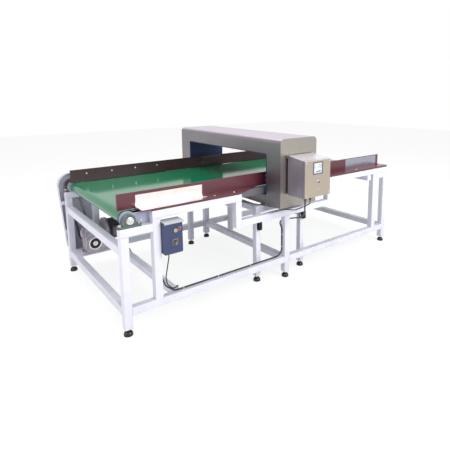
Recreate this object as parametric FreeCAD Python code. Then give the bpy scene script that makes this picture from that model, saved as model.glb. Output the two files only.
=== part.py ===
# Conveyor metal detector: a flat belt carries goods through the opening of a detector head, which
# stands on its own table between the two halves of the conveyor's deck.
#
# X runs along the belt from its drive end, Y across it from the operator's side, and Z up from the
# floor. Pieces are drawn with X measured from the drive end of the frame and Y from the belt's
# centre line, and are moved at the end so that the origin lies on the floor at the middle of the
# machine's footprint. "near" is the operator's side, at negative Y.
import FreeCAD, Part
import math
import os

V = FreeCAD.Vector
X_AXIS = V(1, 0, 0)
Y_AXIS = V(0, 1, 0)
Z_AXIS = V(0, 0, 1)
NEAR = -1
FAR = 1
SIDES = (NEAR, FAR)

# ---- Driving dimensions, in millimetres ------------------------------------------------------

# Conveyor frame, of square tube
tube = 50.0
tube_corner = 5.0
frame_length = 2600.0
belt_side_gap = 50.0
deck_top = 740.0
low_rail_drop = 56.0
bottom_rail_top = 175.0
end_rail_top = 548.0
infeed_deck = 862.0
head_gap = 893.0
shaft_to_leg = 55.0
second_cross_x = 340.0
tail_leg_inset = 212.0
deck_cross_inset = 300.0
middle_leg_offset = -10.0

# Levelling feet
foot_height = 45.0
foot_pad_radius = 28.0
foot_pad_height = 14.0
foot_stem_radius = 6.0
foot_nut_across_flats = 18.0
foot_nut_height = 8.0

# Belt, drums and rollers
belt_rise = 5.0
belt_width = 1030.0
belt_thickness = 3.0
belt_fit = 0.3
drum_radius = 35.0
drum_wall = 5.0
drum_overhang = 7.0
drive_x = 65.0
shaft_radius = 12.5
bore_clearance = 0.05
roller_radius = 20.0
roller_axle_radius = 6.0
roller_offset = 85.0
return_clearance = 16.0
bearing_height = 42.7

# Side plates that carry the return rollers and the take-up
side_plate = 6.0
nose_radius = 48.0

# Slider beds under the carrying run
bed_sheet = 2.0
bed_overhang = 17.0
bed_drum_gap = 45.0
middle_board = 12.0

# Side guards
guard_thickness = 8.0
guard_height = 100.0
guard_belt_overlap = 18.0
guard_packer = 8.0
guard_end_x = 28.0
guard_flange_lead = 62.0
guard_into_head = 65.0
flange_run_out = 235.0
cover_plate = 2.0

# Detector head and its stand
head_depth = 365.0
head_cheek = 154.0
head_floor = 72.0
head_roof = 118.0
head_sheet = 3.0
head_corner = 34.0
aperture_side_gap = 53.0
aperture_drop = 10.0
aperture_height = 316.0
liner = 6.0
coil_section = 12.0
coil_spacing = 95.0
stand_tube = 45.0
stand_overhang = 50.0
stand_side_gap = 32.5
head_pad = 8.0

# Chain drive: equal sprockets, with a whole number of links on each span and each half wrap. The
# gearbox slides along its plate until the span fits the next whole link.
chain_pitch = 15.875
sprocket_teeth = 16
chain_roller_radius = 5.08
chain_inner_width = 9.7
chain_plate = 1.8
chain_plate_width = 14.0
sprocket_side_gap = 0.4
drive_stand_off = 35.0
gearbox_least_offset = 60.0

# Worm gearbox and motor
gearbox_shaft_height = 86.458
gearbox_side_gap = 55.0
gearbox_width = 140.0
gearbox_half_length = 62.0
worm_centres = 75.0
motor_plate = 8.0
motor_flange_radius = 98.0
motor_radius = 76.0
motor_length = 130.0
cowl_length = 48.0

# Chain guard
guard_case_radius = 102.0
guard_case_depth = 50.0
guard_sheet = 2.0
guard_strap = 5.0
guard_case_lead = 60.0

# Control box on the near end of the head
box_width = 258.0
box_depth = 186.0
box_height = 264.0
box_roof_rise = 22.0
box_drop = 142.0
box_sheet = 2.0
button_proud = 5.0

# Switch box under the deck rail
switch_width = 126.0
switch_height = 206.0
switch_depth = 74.0
switch_drop = 26.0
switch_gap = 2.0

# ---- Sizes that follow from them -------------------------------------------------------------

inner_y = belt_width / 2 + belt_side_gap
outer_y = inner_y + tube
deck_bottom = deck_top - tube
belt_top = deck_top + belt_rise
aperture_width = belt_width + 2 * aperture_side_gap
aperture_bottom = deck_bottom - aperture_drop
aperture_top = aperture_bottom + aperture_height
head_width = aperture_width + 2 * head_cheek
head_bottom = aperture_bottom - head_floor
head_top = aperture_top + head_roof
low_rail_top = head_bottom - low_rail_drop

outfeed_x = infeed_deck + head_gap
head_x = infeed_deck + head_gap / 2
middle_leg_x = head_x + middle_leg_offset - tube / 2
tail_leg_x = frame_length - tail_leg_inset
deck_cross_x = frame_length - deck_cross_inset
tail_x = (tail_leg_x + frame_length) / 2

axis_z = belt_top - belt_thickness - belt_fit - drum_radius
shelf_top = axis_z - bearing_height
drum_half_length = belt_width / 2 + drum_overhang
bed_half_width = belt_width / 2 + bed_overhang
roller_z = deck_bottom + return_clearance - belt_fit - roller_radius
bed_top = belt_top - belt_thickness - belt_fit

web_inner_y = belt_width / 2 - guard_belt_overlap
web_outer_y = web_inner_y + guard_thickness
flange_bottom = deck_top + guard_packer
flange_top = flange_bottom + guard_thickness

head_near_y = -head_width / 2
box_front_y = head_near_y - box_depth
box_bottom = head_top - box_drop - box_height
switch_bottom = deck_bottom - switch_drop - switch_height
stand_top = head_bottom - head_pad
stand_pitch_x = head_depth + 2 * stand_overhang
stand_pitch_y = 2 * (inner_y - stand_side_gap) - stand_tube

pitch_radius = chain_pitch / (2 * math.sin(math.pi / sprocket_teeth))
plate_top = bottom_rail_top + motor_plate
gear_z = plate_top + gearbox_shaft_height
shaft_drop = axis_z - gear_z
span_links = math.ceil(math.hypot(shaft_drop, gearbox_least_offset) / chain_pitch)
span = span_links * chain_pitch
gear_x = drive_x + math.sqrt(span ** 2 - shaft_drop ** 2)
drive_plane_y = outer_y + drive_stand_off
sprocket_width = chain_inner_width - 2 * sprocket_side_gap
chain_direction = V(gear_x - drive_x, 0, gear_z - axis_z).normalize()
chain_side = V(chain_direction.z, 0, -chain_direction.x)
worm_z = gear_z + worm_centres
second_leg_x = gear_x + shaft_to_leg
guard_flange_x = second_leg_x - guard_flange_lead
gearbox_near_y = inner_y - gearbox_side_gap - gearbox_width

case_foot_x = drive_x - guard_case_lead
case_near_y = outer_y + guard_strap
case_far_y = case_near_y + guard_case_depth

footprint_x = (drive_x - guard_case_radius, frame_length - tube / 2 + foot_pad_radius)
footprint_y = (box_front_y - button_proud, head_width / 2)
to_origin = V(-sum(footprint_x) / 2, -sum(footprint_y) / 2, 0)


# ---- Drawing helpers -------------------------------------------------------------------------

def block(x0, x1, y0, y1, z0, z1):
    """A block between two corners, given low and high values on each axis."""
    return Part.makeBox(x1 - x0, y1 - y0, z1 - z0, V(x0, y0, z0))


def side_block(side, x0, x1, from_centre, to_centre, z0, z1):
    """A block on one side of the belt, between two distances from its centre line."""
    y0, y1 = sorted((side * from_centre, side * to_centre))
    return block(x0, x1, y0, y1, z0, z1)


def edges_along(shape, axis):
    """The straight edges of a shape that run along an axis."""
    lines = [edge for edge in shape.Edges if isinstance(edge.Curve, Part.Line)]
    return [edge for edge in lines if abs(edge.Curve.Direction.dot(axis)) > 0.999]


def round_edges(shape, radius, axis):
    """The shape with its edges along an axis rounded."""
    return shape.makeFillet(radius, edges_along(shape, axis))


def member(x0, x1, y0, y1, z0, z1, corner=tube_corner):
    """A length of square tube, with its four long edges rounded."""
    sizes = {x1 - x0: X_AXIS, y1 - y0: Y_AXIS, z1 - z0: Z_AXIS}
    return round_edges(block(x0, x1, y0, y1, z0, z1), corner, sizes[max(sizes)])


def side_member(side, x0, x1, z0, z1):
    """A tube of one side frame."""
    y0, y1 = sorted((side * inner_y, side * outer_y))
    return member(x0, x1, y0, y1, z0, z1)


def rod(radius, start, end):
    """A round bar from one point to another."""
    return Part.makeCylinder(radius, (end - start).Length, start, end - start)


def across(radius, x, z, y0, y1):
    """A round bar along Y."""
    return rod(radius, V(x, y0, z), V(x, y1, z))


def prism(points, direction):
    """A flat outline of points, extruded."""
    return Part.Face(Part.makePolygon(points + points[:1])).extrude(direction)


def hexagon(across_flats, base, height):
    """A hexagon nut or bolt head, standing up from its base centre."""
    radius = across_flats / math.sqrt(3)
    corners = [math.radians(60 * step) for step in range(6)]
    outline = [base + V(radius * math.cos(a), radius * math.sin(a), 0) for a in corners]
    return prism(outline, V(0, 0, height))


def turned(profile, base, axis):
    """A turned piece. The profile lists (radius, height) points from the axis out and back to it."""
    points = [V(radius, 0, height) for radius, height in profile]
    solid = Part.Face(Part.makePolygon(points + points[:1])).revolve(V(), Z_AXIS, 360)
    solid.Placement = FreeCAD.Placement(base, FreeCAD.Rotation(Z_AXIS, axis))
    return solid


def mirrored(shape):
    """The same shape on the other side of the belt's centre line."""
    return shape.mirror(V(), Y_AXIS)


def fused(*shapes):
    """Several shapes welded into one solid."""
    return shapes[0].multiFuse(list(shapes[1:])).removeSplitter()


def save(name, solids):
    """Writes one sub-part, moved to the machine's own origin."""
    shape = Part.makeCompound(solids)
    shape.translate(to_origin)
    shape.exportStep(f"parts/{name}.step")


# ---- Conveyor frame --------------------------------------------------------------------------

def side_frame(side):
    """One welded side frame: legs, posts and rails. The deck steps down where the head stands."""
    shelf_end = second_leg_x
    post_bottom = low_rail_top - tube
    tail_inner_x = tail_leg_x + tube
    last_leg_x = frame_length - tube
    bottom = (bottom_rail_top - tube, bottom_rail_top)
    deck = (deck_bottom, deck_top)
    low = (post_bottom, low_rail_top)
    tubes = (
        (0, tube, foot_height, shelf_top - tube),
        (0, shelf_end, shelf_top - tube, shelf_top),
        (second_leg_x, second_leg_x + tube, bottom_rail_top, deck_bottom),
        (tube, middle_leg_x, *bottom),
        (middle_leg_x + tube, last_leg_x, *bottom),
        (second_leg_x, infeed_deck, *deck),
        (infeed_deck - tube, infeed_deck, post_bottom, deck_bottom),
        (infeed_deck, outfeed_x, *low),
        (middle_leg_x, middle_leg_x + tube, foot_height, post_bottom),
        (outfeed_x, outfeed_x + tube, post_bottom, deck_bottom),
        (outfeed_x, frame_length, *deck),
        (tail_leg_x, tail_inner_x, bottom_rail_top, deck_bottom),
        (tail_inner_x, last_leg_x, deck_bottom - tube, deck_bottom),
        (last_leg_x, frame_length, foot_height, deck_bottom),
    )
    return [side_member(side, *extent) for extent in tubes]


def cross_rails():
    """The tubes across the machine, between the side frames. One lies under the deck rails."""
    last_leg_x = frame_length - tube
    rails = (
        (0, bottom_rail_top, inner_y),
        (0, end_rail_top, inner_y),
        (second_cross_x, bottom_rail_top, inner_y),
        (middle_leg_x, bottom_rail_top, inner_y),
        (last_leg_x, bottom_rail_top, inner_y),
        (second_leg_x, deck_bottom, inner_y),
        (infeed_deck - tube, deck_bottom, inner_y),
        (outfeed_x, deck_bottom, inner_y),
        (deck_cross_x, deck_bottom, outer_y),
        (last_leg_x, deck_bottom, inner_y),
    )
    return [member(x, x + tube, -reach, reach, top - tube, top) for x, top, reach in rails]


def foot_places():
    """Where the levelling feet stand: six under the conveyor and four under the stand."""
    frame_y = outer_y - tube / 2
    frame_x = (tube / 2, middle_leg_x + tube / 2, frame_length - tube / 2)
    places = [(x, side * frame_y) for x in frame_x for side in SIDES]
    for end in SIDES:
        x = head_x + end * stand_pitch_x / 2
        places += [(x, side * stand_pitch_y / 2) for side in SIDES]
    return places


def foot_pad(x, y):
    """A moulded foot: a flat base, a cone and a socket round the stem."""
    rim = 5.0
    neck = foot_stem_radius + 5.0
    bore = foot_stem_radius
    floor = 6.0
    profile = [(0, 0), (foot_pad_radius, 0), (foot_pad_radius, rim), (neck, foot_pad_height),
               (bore, foot_pad_height), (bore, floor), (0, floor)]
    return turned(profile, V(x, y, 0), Z_AXIS)


def foot_stem(x, y):
    """The threaded stem in its socket, with the lock nut under the leg."""
    stem = rod(foot_stem_radius, V(x, y, 6.0), V(x, y, foot_height))
    nut_base = V(x, y, foot_height - foot_nut_height)
    return fused(stem, hexagon(foot_nut_across_flats, nut_base, foot_nut_height))


def detector_stand():
    """The separate table that carries the head: four legs and a rail on each side of its top."""
    half = stand_tube / 2
    rail_bottom = stand_top - stand_tube
    leg_x = [head_x + end * stand_pitch_x / 2 for end in SIDES]
    leg_y = [side * stand_pitch_y / 2 for side in SIDES]
    pieces = [member(x - half, x + half, y - half, y + half, foot_height, stand_top)
              for x in leg_x for y in leg_y]
    for y in leg_y:
        pieces.append(member(leg_x[0] + half, leg_x[1] - half, y - half, y + half, rail_bottom, stand_top))
    for x in leg_x:
        pieces.append(member(x - half, x + half, leg_y[0] + half, leg_y[1] - half, rail_bottom, stand_top))
    return pieces


# ---- Belt, drums and rollers -----------------------------------------------------------------

def belt_loop(offset):
    """One face line of the belt, offset outwards from its middle line.

    The line goes along the top, round the tail drum, back over the two return rollers and round
    the drive drum. Between a drum and its roller it crosses from below one to above the other.
    """
    drum = drum_radius + belt_fit + belt_thickness / 2 + offset
    roller = roller_radius + belt_fit + belt_thickness / 2 - offset
    reach = math.hypot(roller_offset, axis_z - roller_z)
    slope = math.atan2(roller_z - axis_z, roller_offset)
    lean = slope + math.acos(-(drum + roller) / reach)
    normal = V(math.cos(lean), 0, math.sin(lean))
    flipped = V(-normal.x, 0, normal.z)
    drive, tail = V(drive_x, 0, axis_z), V(tail_x, 0, axis_z)
    first, last = V(drive_x + roller_offset, 0, roller_z), V(tail_x - roller_offset, 0, roller_z)
    half_lean = V(math.cos((lean + math.pi / 2) / 2), 0, math.sin((lean + math.pi / 2) / 2))
    half_flipped = V(-half_lean.x, 0, half_lean.z)
    up = Z_AXIS
    edges = [
        Part.LineSegment(drive + up * drum, tail + up * drum),
        Part.Arc(tail + up * drum, tail + X_AXIS * drum, tail - flipped * drum),
        Part.LineSegment(tail - flipped * drum, last + flipped * roller),
        Part.Arc(last + flipped * roller, last + half_flipped * roller, last + up * roller),
        Part.LineSegment(last + up * roller, first + up * roller),
        Part.Arc(first + up * roller, first + half_lean * roller, first + normal * roller),
        Part.LineSegment(first + normal * roller, drive - normal * drum),
        Part.Arc(drive - normal * drum, drive - X_AXIS * drum, drive + up * drum),
    ]
    return Part.Face(Part.Wire([edge.toShape() for edge in edges]))


def belt():
    """The endless belt."""
    band = belt_loop(belt_thickness / 2).cut(belt_loop(-belt_thickness / 2))
    band.translate(V(0, -belt_width / 2, 0))
    return band.extrude(V(0, belt_width, 0)).Solids[0]


def drum(x):
    """A drum: a tube closed by two end discs, with a bore for its shaft in each disc."""
    disc = 8.0
    recess = 6.0
    inner = drum_radius - drum_wall
    half = drum_half_length
    shell = across(drum_radius, x, axis_z, -half, half)
    hollows = ((-half, -half + recess), (-half + recess + disc, half - recess - disc), (half - recess, half))
    for y0, y1 in hollows:
        shell = shell.cut(across(inner, x, axis_z, y0, y1))
    return shell.cut(across(shaft_radius, x, axis_z, -half, half))


def drive_shaft():
    """The drive drum's shaft, from the near bearing out to the sprocket behind the far side."""
    near_end = -outer_y - 10.0
    far_end = drive_plane_y + 14.0
    return across(shaft_radius, drive_x, axis_z, near_end, far_end)


def pillow_block(side):
    """A cast pillow block: a slotted foot, a round housing and its bearing insert."""
    middle = side * (outer_y - tube / 2)
    foot_half, foot_depth, foot_thick = 72.0, 38.0, 15.0
    housing_radius, housing_depth = 37.0, 28.0
    insert_radius, insert_depth = 24.0, 36.0
    foot = block(drive_x - foot_half, drive_x + foot_half, middle - foot_depth / 2, middle + foot_depth / 2,
                 shelf_top, shelf_top + foot_thick)
    foot = round_edges(foot, 12.0, Z_AXIS)
    housing = across(housing_radius, drive_x, axis_z, middle - housing_depth / 2, middle + housing_depth / 2)
    waist = prism([V(drive_x - 46, middle - housing_depth / 2, shelf_top),
                   V(drive_x + 46, middle - housing_depth / 2, shelf_top),
                   V(drive_x + housing_radius * 0.94, middle - housing_depth / 2, axis_z + 12),
                   V(drive_x - housing_radius * 0.94, middle - housing_depth / 2, axis_z + 12)],
                  V(0, housing_depth, 0))
    insert = across(insert_radius, drive_x, axis_z, middle - insert_depth / 2, middle + insert_depth / 2)
    block_body = fused(foot, waist, housing, insert)
    bore = across(shaft_radius + bore_clearance, drive_x, axis_z, middle - 40, middle + 40)
    return block_body.cut(bore)


def bearing_bolts():
    """The bolts that hold the two pillow blocks down on the shelf rails."""
    foot_top = shelf_top + 15.0
    places = [(drive_x + end * 56.0, side * (outer_y - tube / 2)) for end in SIDES for side in SIDES]
    washer_top = foot_top + 2.0
    return [fused(hexagon(17.0, V(x, y, washer_top), 7.0), rod(12.0, V(x, y, foot_top), V(x, y, washer_top)))
            for x, y in places]


def drive_side_plate(side):
    """The plate at the drive end: a round nose about the shaft and a bore for the roller's axle."""
    y0 = inner_y - side_plate
    edge_top = deck_top - 2.0
    nose = across(nose_radius, drive_x, axis_z, side * y0, side * inner_y)
    tongue = side_block(side, drive_x, second_leg_x, y0, inner_y, axis_z - nose_radius, edge_top)
    tail = side_block(side, second_leg_x, second_leg_x + tube, y0, inner_y, deck_bottom, edge_top)
    clear = across(shaft_radius + 4.0, drive_x, axis_z, side * (y0 - 1), side * (inner_y + 1))
    plate = fused(nose, tongue, tail).cut(clear)
    return plate.cut(axle_bore(side, drive_x + roller_offset))


def axle_bore(side, x):
    """The hole in a side plate for a return roller's axle."""
    y0 = inner_y - side_plate
    return across(roller_axle_radius, x, roller_z, side * (y0 - 1), side * (inner_y + 1))


def return_roller(x):
    """A return roller: a tube on two end bushes that run on the fixed axle."""
    half = drum_half_length
    bore = roller_axle_radius + bore_clearance
    tube_inner = roller_radius - 2.5
    bush = 12.0
    roller = across(roller_radius, x, roller_z, -half, half)
    roller = roller.cut(across(tube_inner, x, roller_z, -half + bush, half - bush))
    return roller.cut(across(bore, x, roller_z, -half, half))


def roller_axle(x):
    """The fixed axle of a return roller, held in the two side plates."""
    return across(roller_axle_radius, x, roller_z, -inner_y, inner_y)


# ---- Take-up at the tail ---------------------------------------------------------------------

takeup_travel = 25.0
block_half_length = 34.0
block_half_height = 28.0
block_thickness = 22.0
stud_radius = 5.0
lug_thickness = 8.0
lug_x = frame_length - 20.0
plate_to_block = 0.3


def takeup_block_y():
    """The distances of a take-up block's two faces from the centre line."""
    outer = inner_y - side_plate - plate_to_block
    return outer - block_thickness, outer


def tail_side_plate(side):
    """The plate at the tail: a slot for the take-up's slide, its guides and a lug for its stud."""
    y0 = inner_y - side_plate
    last_cross_x = frame_length - tube
    edge_top = deck_top - 2.0
    plate = fused(side_block(side, tail_leg_x, last_cross_x, y0, inner_y, deck_bottom - tube, edge_top),
                  side_block(side, last_cross_x, lug_x, y0, inner_y, deck_bottom, edge_top))
    slot_half = shaft_radius + 1.0
    slot = side_block(side, tail_x - takeup_travel, tail_x, y0 - 1, inner_y + 1,
                      axis_z - slot_half, axis_z + slot_half)
    ends = [across(slot_half, x, axis_z, side * (y0 - 1), side * (inner_y + 1))
            for x in (tail_x - takeup_travel, tail_x)]
    plate = plate.cut(fused(slot, *ends))
    inner, outer = takeup_block_y()
    lug = side_block(side, lug_x - lug_thickness, lug_x, inner, y0, deck_bottom + 1.0,
                     axis_z + block_half_height)
    guides = []
    reach = (tail_x - block_half_length - takeup_travel - 4.0, tail_x + block_half_length + 4.0)
    for way in (-1, 1):
        z0, z1 = sorted((axis_z + way * (block_half_height + plate_to_block),
                         axis_z + way * (block_half_height + 6.0)))
        guides.append(side_block(side, *reach, inner + 8.0, y0, z0, z1))
    stud_y = side * (inner + outer) / 2
    hole = rod(stud_radius + 0.4, V(lug_x - lug_thickness - 1, stud_y, axis_z), V(lug_x + 1, stud_y, axis_z))
    return fused(plate, lug, *guides).cut(hole).cut(axle_bore(side, tail_x - roller_offset))


def takeup_block(side):
    """A sliding bearing block of the tail drum."""
    inner, outer = takeup_block_y()
    body = side_block(side, tail_x - block_half_length, tail_x + block_half_length, inner, outer,
                      axis_z - block_half_height, axis_z + block_half_height)
    body = round_edges(body, 8.0, Y_AXIS)
    bore = across(shaft_radius + bore_clearance, tail_x, axis_z, side * (inner - 1), side * (outer + 1))
    return body.cut(bore)


def takeup_stud(side):
    """The stud that pulls a take-up block towards its lug."""
    inner, outer = takeup_block_y()
    y = side * (inner + outer) / 2
    start = V(tail_x + block_half_length - 1.0, y, axis_z)
    return rod(stud_radius, start, V(frame_length - 2.0, y, axis_z))


def tail_drum():
    """The tail drum, welded to its shaft."""
    reach = inner_y - side_plate - 1.0
    return fused(drum(tail_x), across(shaft_radius, tail_x, axis_z, -reach, reach))


# ---- Slider beds -----------------------------------------------------------------------------

def steel_bed(x0, x1, flange_x0, flange_x1):
    """A sheet bed under the belt, with folded flanges that stand on the cross rails."""
    sheet = block(x0, x1, -bed_half_width, bed_half_width, bed_top - bed_sheet, bed_top)
    flanges = [side_block(side, flange_x0, flange_x1, bed_half_width - bed_sheet, bed_half_width,
                          deck_bottom, bed_top) for side in SIDES]
    return fused(sheet, *flanges)


def middle_bed(x0, x1):
    """The board through the head, which must not be metal, on two side runners."""
    board = block(x0, x1, -bed_half_width, bed_half_width, bed_top - middle_board, bed_top)
    runners = [side_block(side, x0, x1, belt_width / 2 + 5.0, bed_half_width, deck_bottom,
                          bed_top - middle_board) for side in SIDES]
    return fused(board, *runners)


# ---- Side guards -----------------------------------------------------------------------------

guard_top = flange_bottom + guard_height


def guard_flange(x0, x1, x_tip, start, end):
    """The flange outline: full width over the deck rail, then tapering to the web at the head."""
    return [V(x0, start, flange_bottom), V(x1, start, flange_bottom), V(x_tip, end, flange_bottom),
            V(x0, end, flange_bottom)]


def infeed_guard():
    """The near guard before the head: a tall web over the belt's edge and a flange on the deck."""
    web_end = head_x - head_depth / 2 + guard_into_head
    web = block(guard_end_x, web_end, -web_outer_y, -web_inner_y, flange_bottom, guard_top)
    outline = guard_flange(guard_flange_x, infeed_deck, infeed_deck + flange_run_out, -outer_y, -web_inner_y)
    return fused(web, prism(outline, V(0, 0, guard_thickness)))


def outfeed_guard():
    """The near guard after the head."""
    web_start = head_x + head_depth / 2 - guard_into_head
    web = block(web_start, frame_length, -web_outer_y, -web_inner_y, flange_bottom, guard_top)
    outline = guard_flange(frame_length, outfeed_x, outfeed_x - flange_run_out, -outer_y, -web_inner_y)
    return fused(web, prism(outline, V(0, 0, guard_thickness)))


def guard_packers(side):
    """The strips between the deck rails and the guards' flanges."""
    edge = 5.0
    runs = ((second_leg_x + edge, infeed_deck - edge), (outfeed_x + edge, frame_length - edge))
    return [side_block(side, x0, x1, inner_y + edge, outer_y - edge, deck_top, flange_bottom)
            for x0, x1 in runs]


def infeed_cover_plate():
    """The bent bright plate on the near infeed guard: up its web and out over its flange."""
    x0, x1 = guard_flange_x + 5.0, guard_flange_x + 470.0
    reach = web_outer_y + 66.0
    up = block(x0, x1, -web_outer_y - cover_plate, -web_outer_y, flange_top, flange_top + 72.0)
    out = block(x0, x1, -reach, -web_outer_y, flange_top, flange_top + cover_plate)
    return fused(up, out)


def outfeed_cover_plate():
    """The flat bright plate on the near outfeed guard's web."""
    x1 = frame_length - 40.0
    return block(x1 - 450.0, x1, -web_outer_y - cover_plate, -web_outer_y, flange_top, flange_top + 88.0)


def guard_screws():
    """The dome screws that hold the guards' flanges and show on the far webs."""
    screw_y = inner_y + 14.0
    radius, height = 7.0, 3.5
    infeed = [second_leg_x + 60.0, (second_leg_x + infeed_deck) / 2 + 130.0, infeed_deck - 40.0]
    outfeed = [outfeed_x + 60.0, (outfeed_x + frame_length) / 2, frame_length - 60.0]
    dome = [(0, 0), (radius, 0), (radius * 0.75, height * 0.8), (0, height)]
    screws = [turned(dome, V(x, side * screw_y, flange_top), Z_AXIS)
              for x in infeed + outfeed for side in SIDES]
    web_x = [guard_end_x + 124.0 + 200.0 * step for step in range(4)]
    screws += [turned(dome, V(x, web_inner_y, flange_top + 56.0), -Y_AXIS) for x in web_x]
    return screws


# ---- Detector head ---------------------------------------------------------------------------

def head_block(inset):
    """The head's outline shrunk by an inset, with the long top edges well rounded."""
    half_depth = head_depth / 2 - inset
    half_width = head_width / 2 - inset
    body = block(head_x - half_depth, head_x + half_depth, -half_width, half_width,
                 head_bottom + inset, head_top - inset)
    top_edges = [edge for edge in edges_along(body, Y_AXIS) if edge.CenterOfMass.z > head_bottom + 100]
    return body.makeFillet(head_corner - inset, top_edges)


def aperture_block(inset, overhang):
    """The head's opening, shrunk by an inset and longer than the head by an overhang at each face."""
    half_depth = head_depth / 2 + overhang
    half_width = aperture_width / 2 - inset
    opening = block(head_x - half_depth, head_x + half_depth, -half_width, half_width,
                    aperture_bottom + inset, aperture_top - inset)
    return round_edges(opening, 14.0 - inset, X_AXIS)


def head_shell():
    """The welded sheet case of the head, with the opening cut through both of its faces."""
    return head_block(0).cut(head_block(head_sheet)).cut(aperture_block(0, 1.0))


def aperture_liner():
    """The plastic tunnel that lines the opening and stands a little proud of both faces."""
    return aperture_block(0, 1.5).cut(aperture_block(liner, 3.0))


def search_coils():
    """The transmitter coil between its two receiver coils, wound round the liner."""
    coils = []
    for place in (-coil_spacing, 0, coil_spacing):
        ring = aperture_block(-coil_section, -1.0).cut(aperture_block(0, 1.0))
        slice_x = head_x + place
        window = block(slice_x - coil_section / 2, slice_x + coil_section / 2, -head_width, head_width,
                       0, head_top)
        coils.append(ring.common(window))
    return coils


def head_pads():
    """The rubber pads between the stand and the head."""
    half = stand_tube / 2 - 1.0
    reach = head_depth / 2 - 40.0
    places = [(head_x + end * reach, side * stand_pitch_y / 2) for end in SIDES for side in SIDES]
    return [block(x - 30.0, x + 30.0, y - half, y + half, stand_top, head_bottom) for x, y in places]


# ---- Control box -----------------------------------------------------------------------------

box_offset = 6.5
cover_depth = 22.0
bracket_depth = 12.0
box_x = head_x + box_offset
box_x0 = box_x - box_width / 2
box_x1 = box_x + box_width / 2
box_top = box_bottom + box_height
box_back_y = head_near_y - bracket_depth
cover_back_y = box_front_y + cover_depth
window_size = (74.0, 66.0)
window_centre = V(box_x - 2.0, 0, box_bottom + 206.0)
button_centre = V(box_x + 6.0, 0, box_bottom + 105.0)
lamp_centre = V(box_x + 6.0, 0, box_bottom + 54.0)
button_radius = 9.0
button_travel = 3.0
button_gap = 0.35
lamp_radius = 4.0
gland_x = (box_x0 + 40.0, box_x0 + 90.0)
gland_y = box_front_y + cover_depth + 15.0
gland_length = 24.0


def box_outline(inset):
    """The side outline of the control box's body, whose roof rises towards the head."""
    slope = box_roof_rise / (box_back_y - cover_back_y)
    front, back = cover_back_y, box_back_y - inset
    top = box_top - inset
    return [V(box_x0 + inset, front, box_bottom + inset), V(box_x0 + inset, back, box_bottom + inset),
            V(box_x0 + inset, back, top + slope * (back - front)), V(box_x0 + inset, front, top)]


def control_box():
    """The body of the control box, open towards its front cover."""
    outer = prism(box_outline(0), V(box_width, 0, 0))
    inner = prism(box_outline(box_sheet), V(box_width - 2 * box_sheet, 0, 0))
    body = outer.cut(inner)
    for x in gland_x:
        body = body.cut(rod(8.0, V(x, gland_y, box_bottom - 1), V(x, gland_y, box_bottom + 5)))
    return body


def control_bracket():
    """The two upright channels that carry the control box on the end of the head."""
    depth = (head_near_y - bracket_depth, head_near_y)
    rise = (box_bottom + 20.0, box_top - 20.0)
    return [block(x - 20.0, x + 20.0, *depth, *rise) for x in (box_x0 + 45.0, box_x1 - 45.0)]


def control_cover():
    """The front cover: a pan with a window, a button hole and a lamp hole."""
    pan = block(box_x0, box_x1, box_front_y, cover_back_y, box_bottom, box_top)
    front_edges = [edge for edge in pan.Edges if abs(edge.CenterOfMass.y - box_front_y) < 0.01]
    pan = pan.makeFillet(4.0, front_edges)
    hollow = block(box_x0 + box_sheet, box_x1 - box_sheet, box_front_y + box_sheet, cover_back_y,
                   box_bottom + box_sheet, box_top - box_sheet)
    holes = [display_window(0), across(button_radius + button_gap, button_centre.x, button_centre.z,
                                       box_front_y - 1, box_front_y + 4),
             across(lamp_radius, lamp_centre.x, lamp_centre.z, box_front_y - 1, box_front_y + 4)]
    for hole in holes:
        hollow = hollow.fuse(hole)
    return fused(pan.cut(hollow), button_cup())


def display_window(depth):
    """The window in the cover, or a pane that fits it when a depth is given."""
    half_x, half_z = window_size[0] / 2, window_size[1] / 2
    y0, y1 = (box_front_y, box_front_y + depth) if depth else (box_front_y - 1, box_front_y + 4)
    return block(window_centre.x - half_x, window_centre.x + half_x, y0, y1,
                 window_centre.z - half_z, window_centre.z + half_z)


def display():
    """The display: a pane flush in the window, and the module behind it."""
    half_x, half_z = window_size[0] / 2 + 6.0, window_size[1] / 2 + 6.0
    module = block(window_centre.x - half_x, window_centre.x + half_x, box_front_y + box_sheet,
                   box_front_y + 12.0, window_centre.z - half_z, window_centre.z + half_z)
    return fused(display_window(box_sheet), module)


def button_cup():
    """The cup on the back of the cover that guides the panel button."""
    x, z = button_centre.x, button_centre.z
    y0 = box_front_y + box_sheet
    cup = across(button_radius + 4.0, x, z, y0, y0 + 16.0)
    return cup.cut(across(button_radius + button_gap, x, z, y0 - 1, y0 + 14.0))


def panel_button():
    """The sprung push button of the control box."""
    x, z = button_centre.x, button_centre.z
    front = box_front_y - button_proud
    cap = across(button_radius, x, z, front, box_front_y + 9.0)
    rim = [edge for edge in cap.Edges if abs(edge.CenterOfMass.y - front) < 0.01]
    return cap.makeFillet(1.5, rim)


def panel_lamp():
    """The lamp's lens, seated in the cover."""
    x, z = lamp_centre.x, lamp_centre.z
    lens = across(lamp_radius, x, z, box_front_y - 2.5, box_front_y + 8.0)
    tip = [edge for edge in lens.Edges if abs(edge.CenterOfMass.y - box_front_y + 2.5) < 0.01]
    return lens.makeFillet(2.0, tip)


def circuit_board():
    """The circuit board inside the control box, on four posts from its back wall."""
    inner_back = box_back_y - box_sheet
    x0, x1, z0, z1 = box_x0 + 24.0, box_x1 - 24.0, box_bottom + 24.0, box_top - 30.0
    board = block(x0, x1, inner_back - 22.0, inner_back - 20.0, z0, z1)
    corners = [(x, z) for x in (x0 + 10, x1 - 10) for z in (z0 + 10, z1 - 10)]
    posts = [across(4.0, x, z, inner_back - 20.0, inner_back) for x, z in corners]
    return fused(board, *posts)


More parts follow.
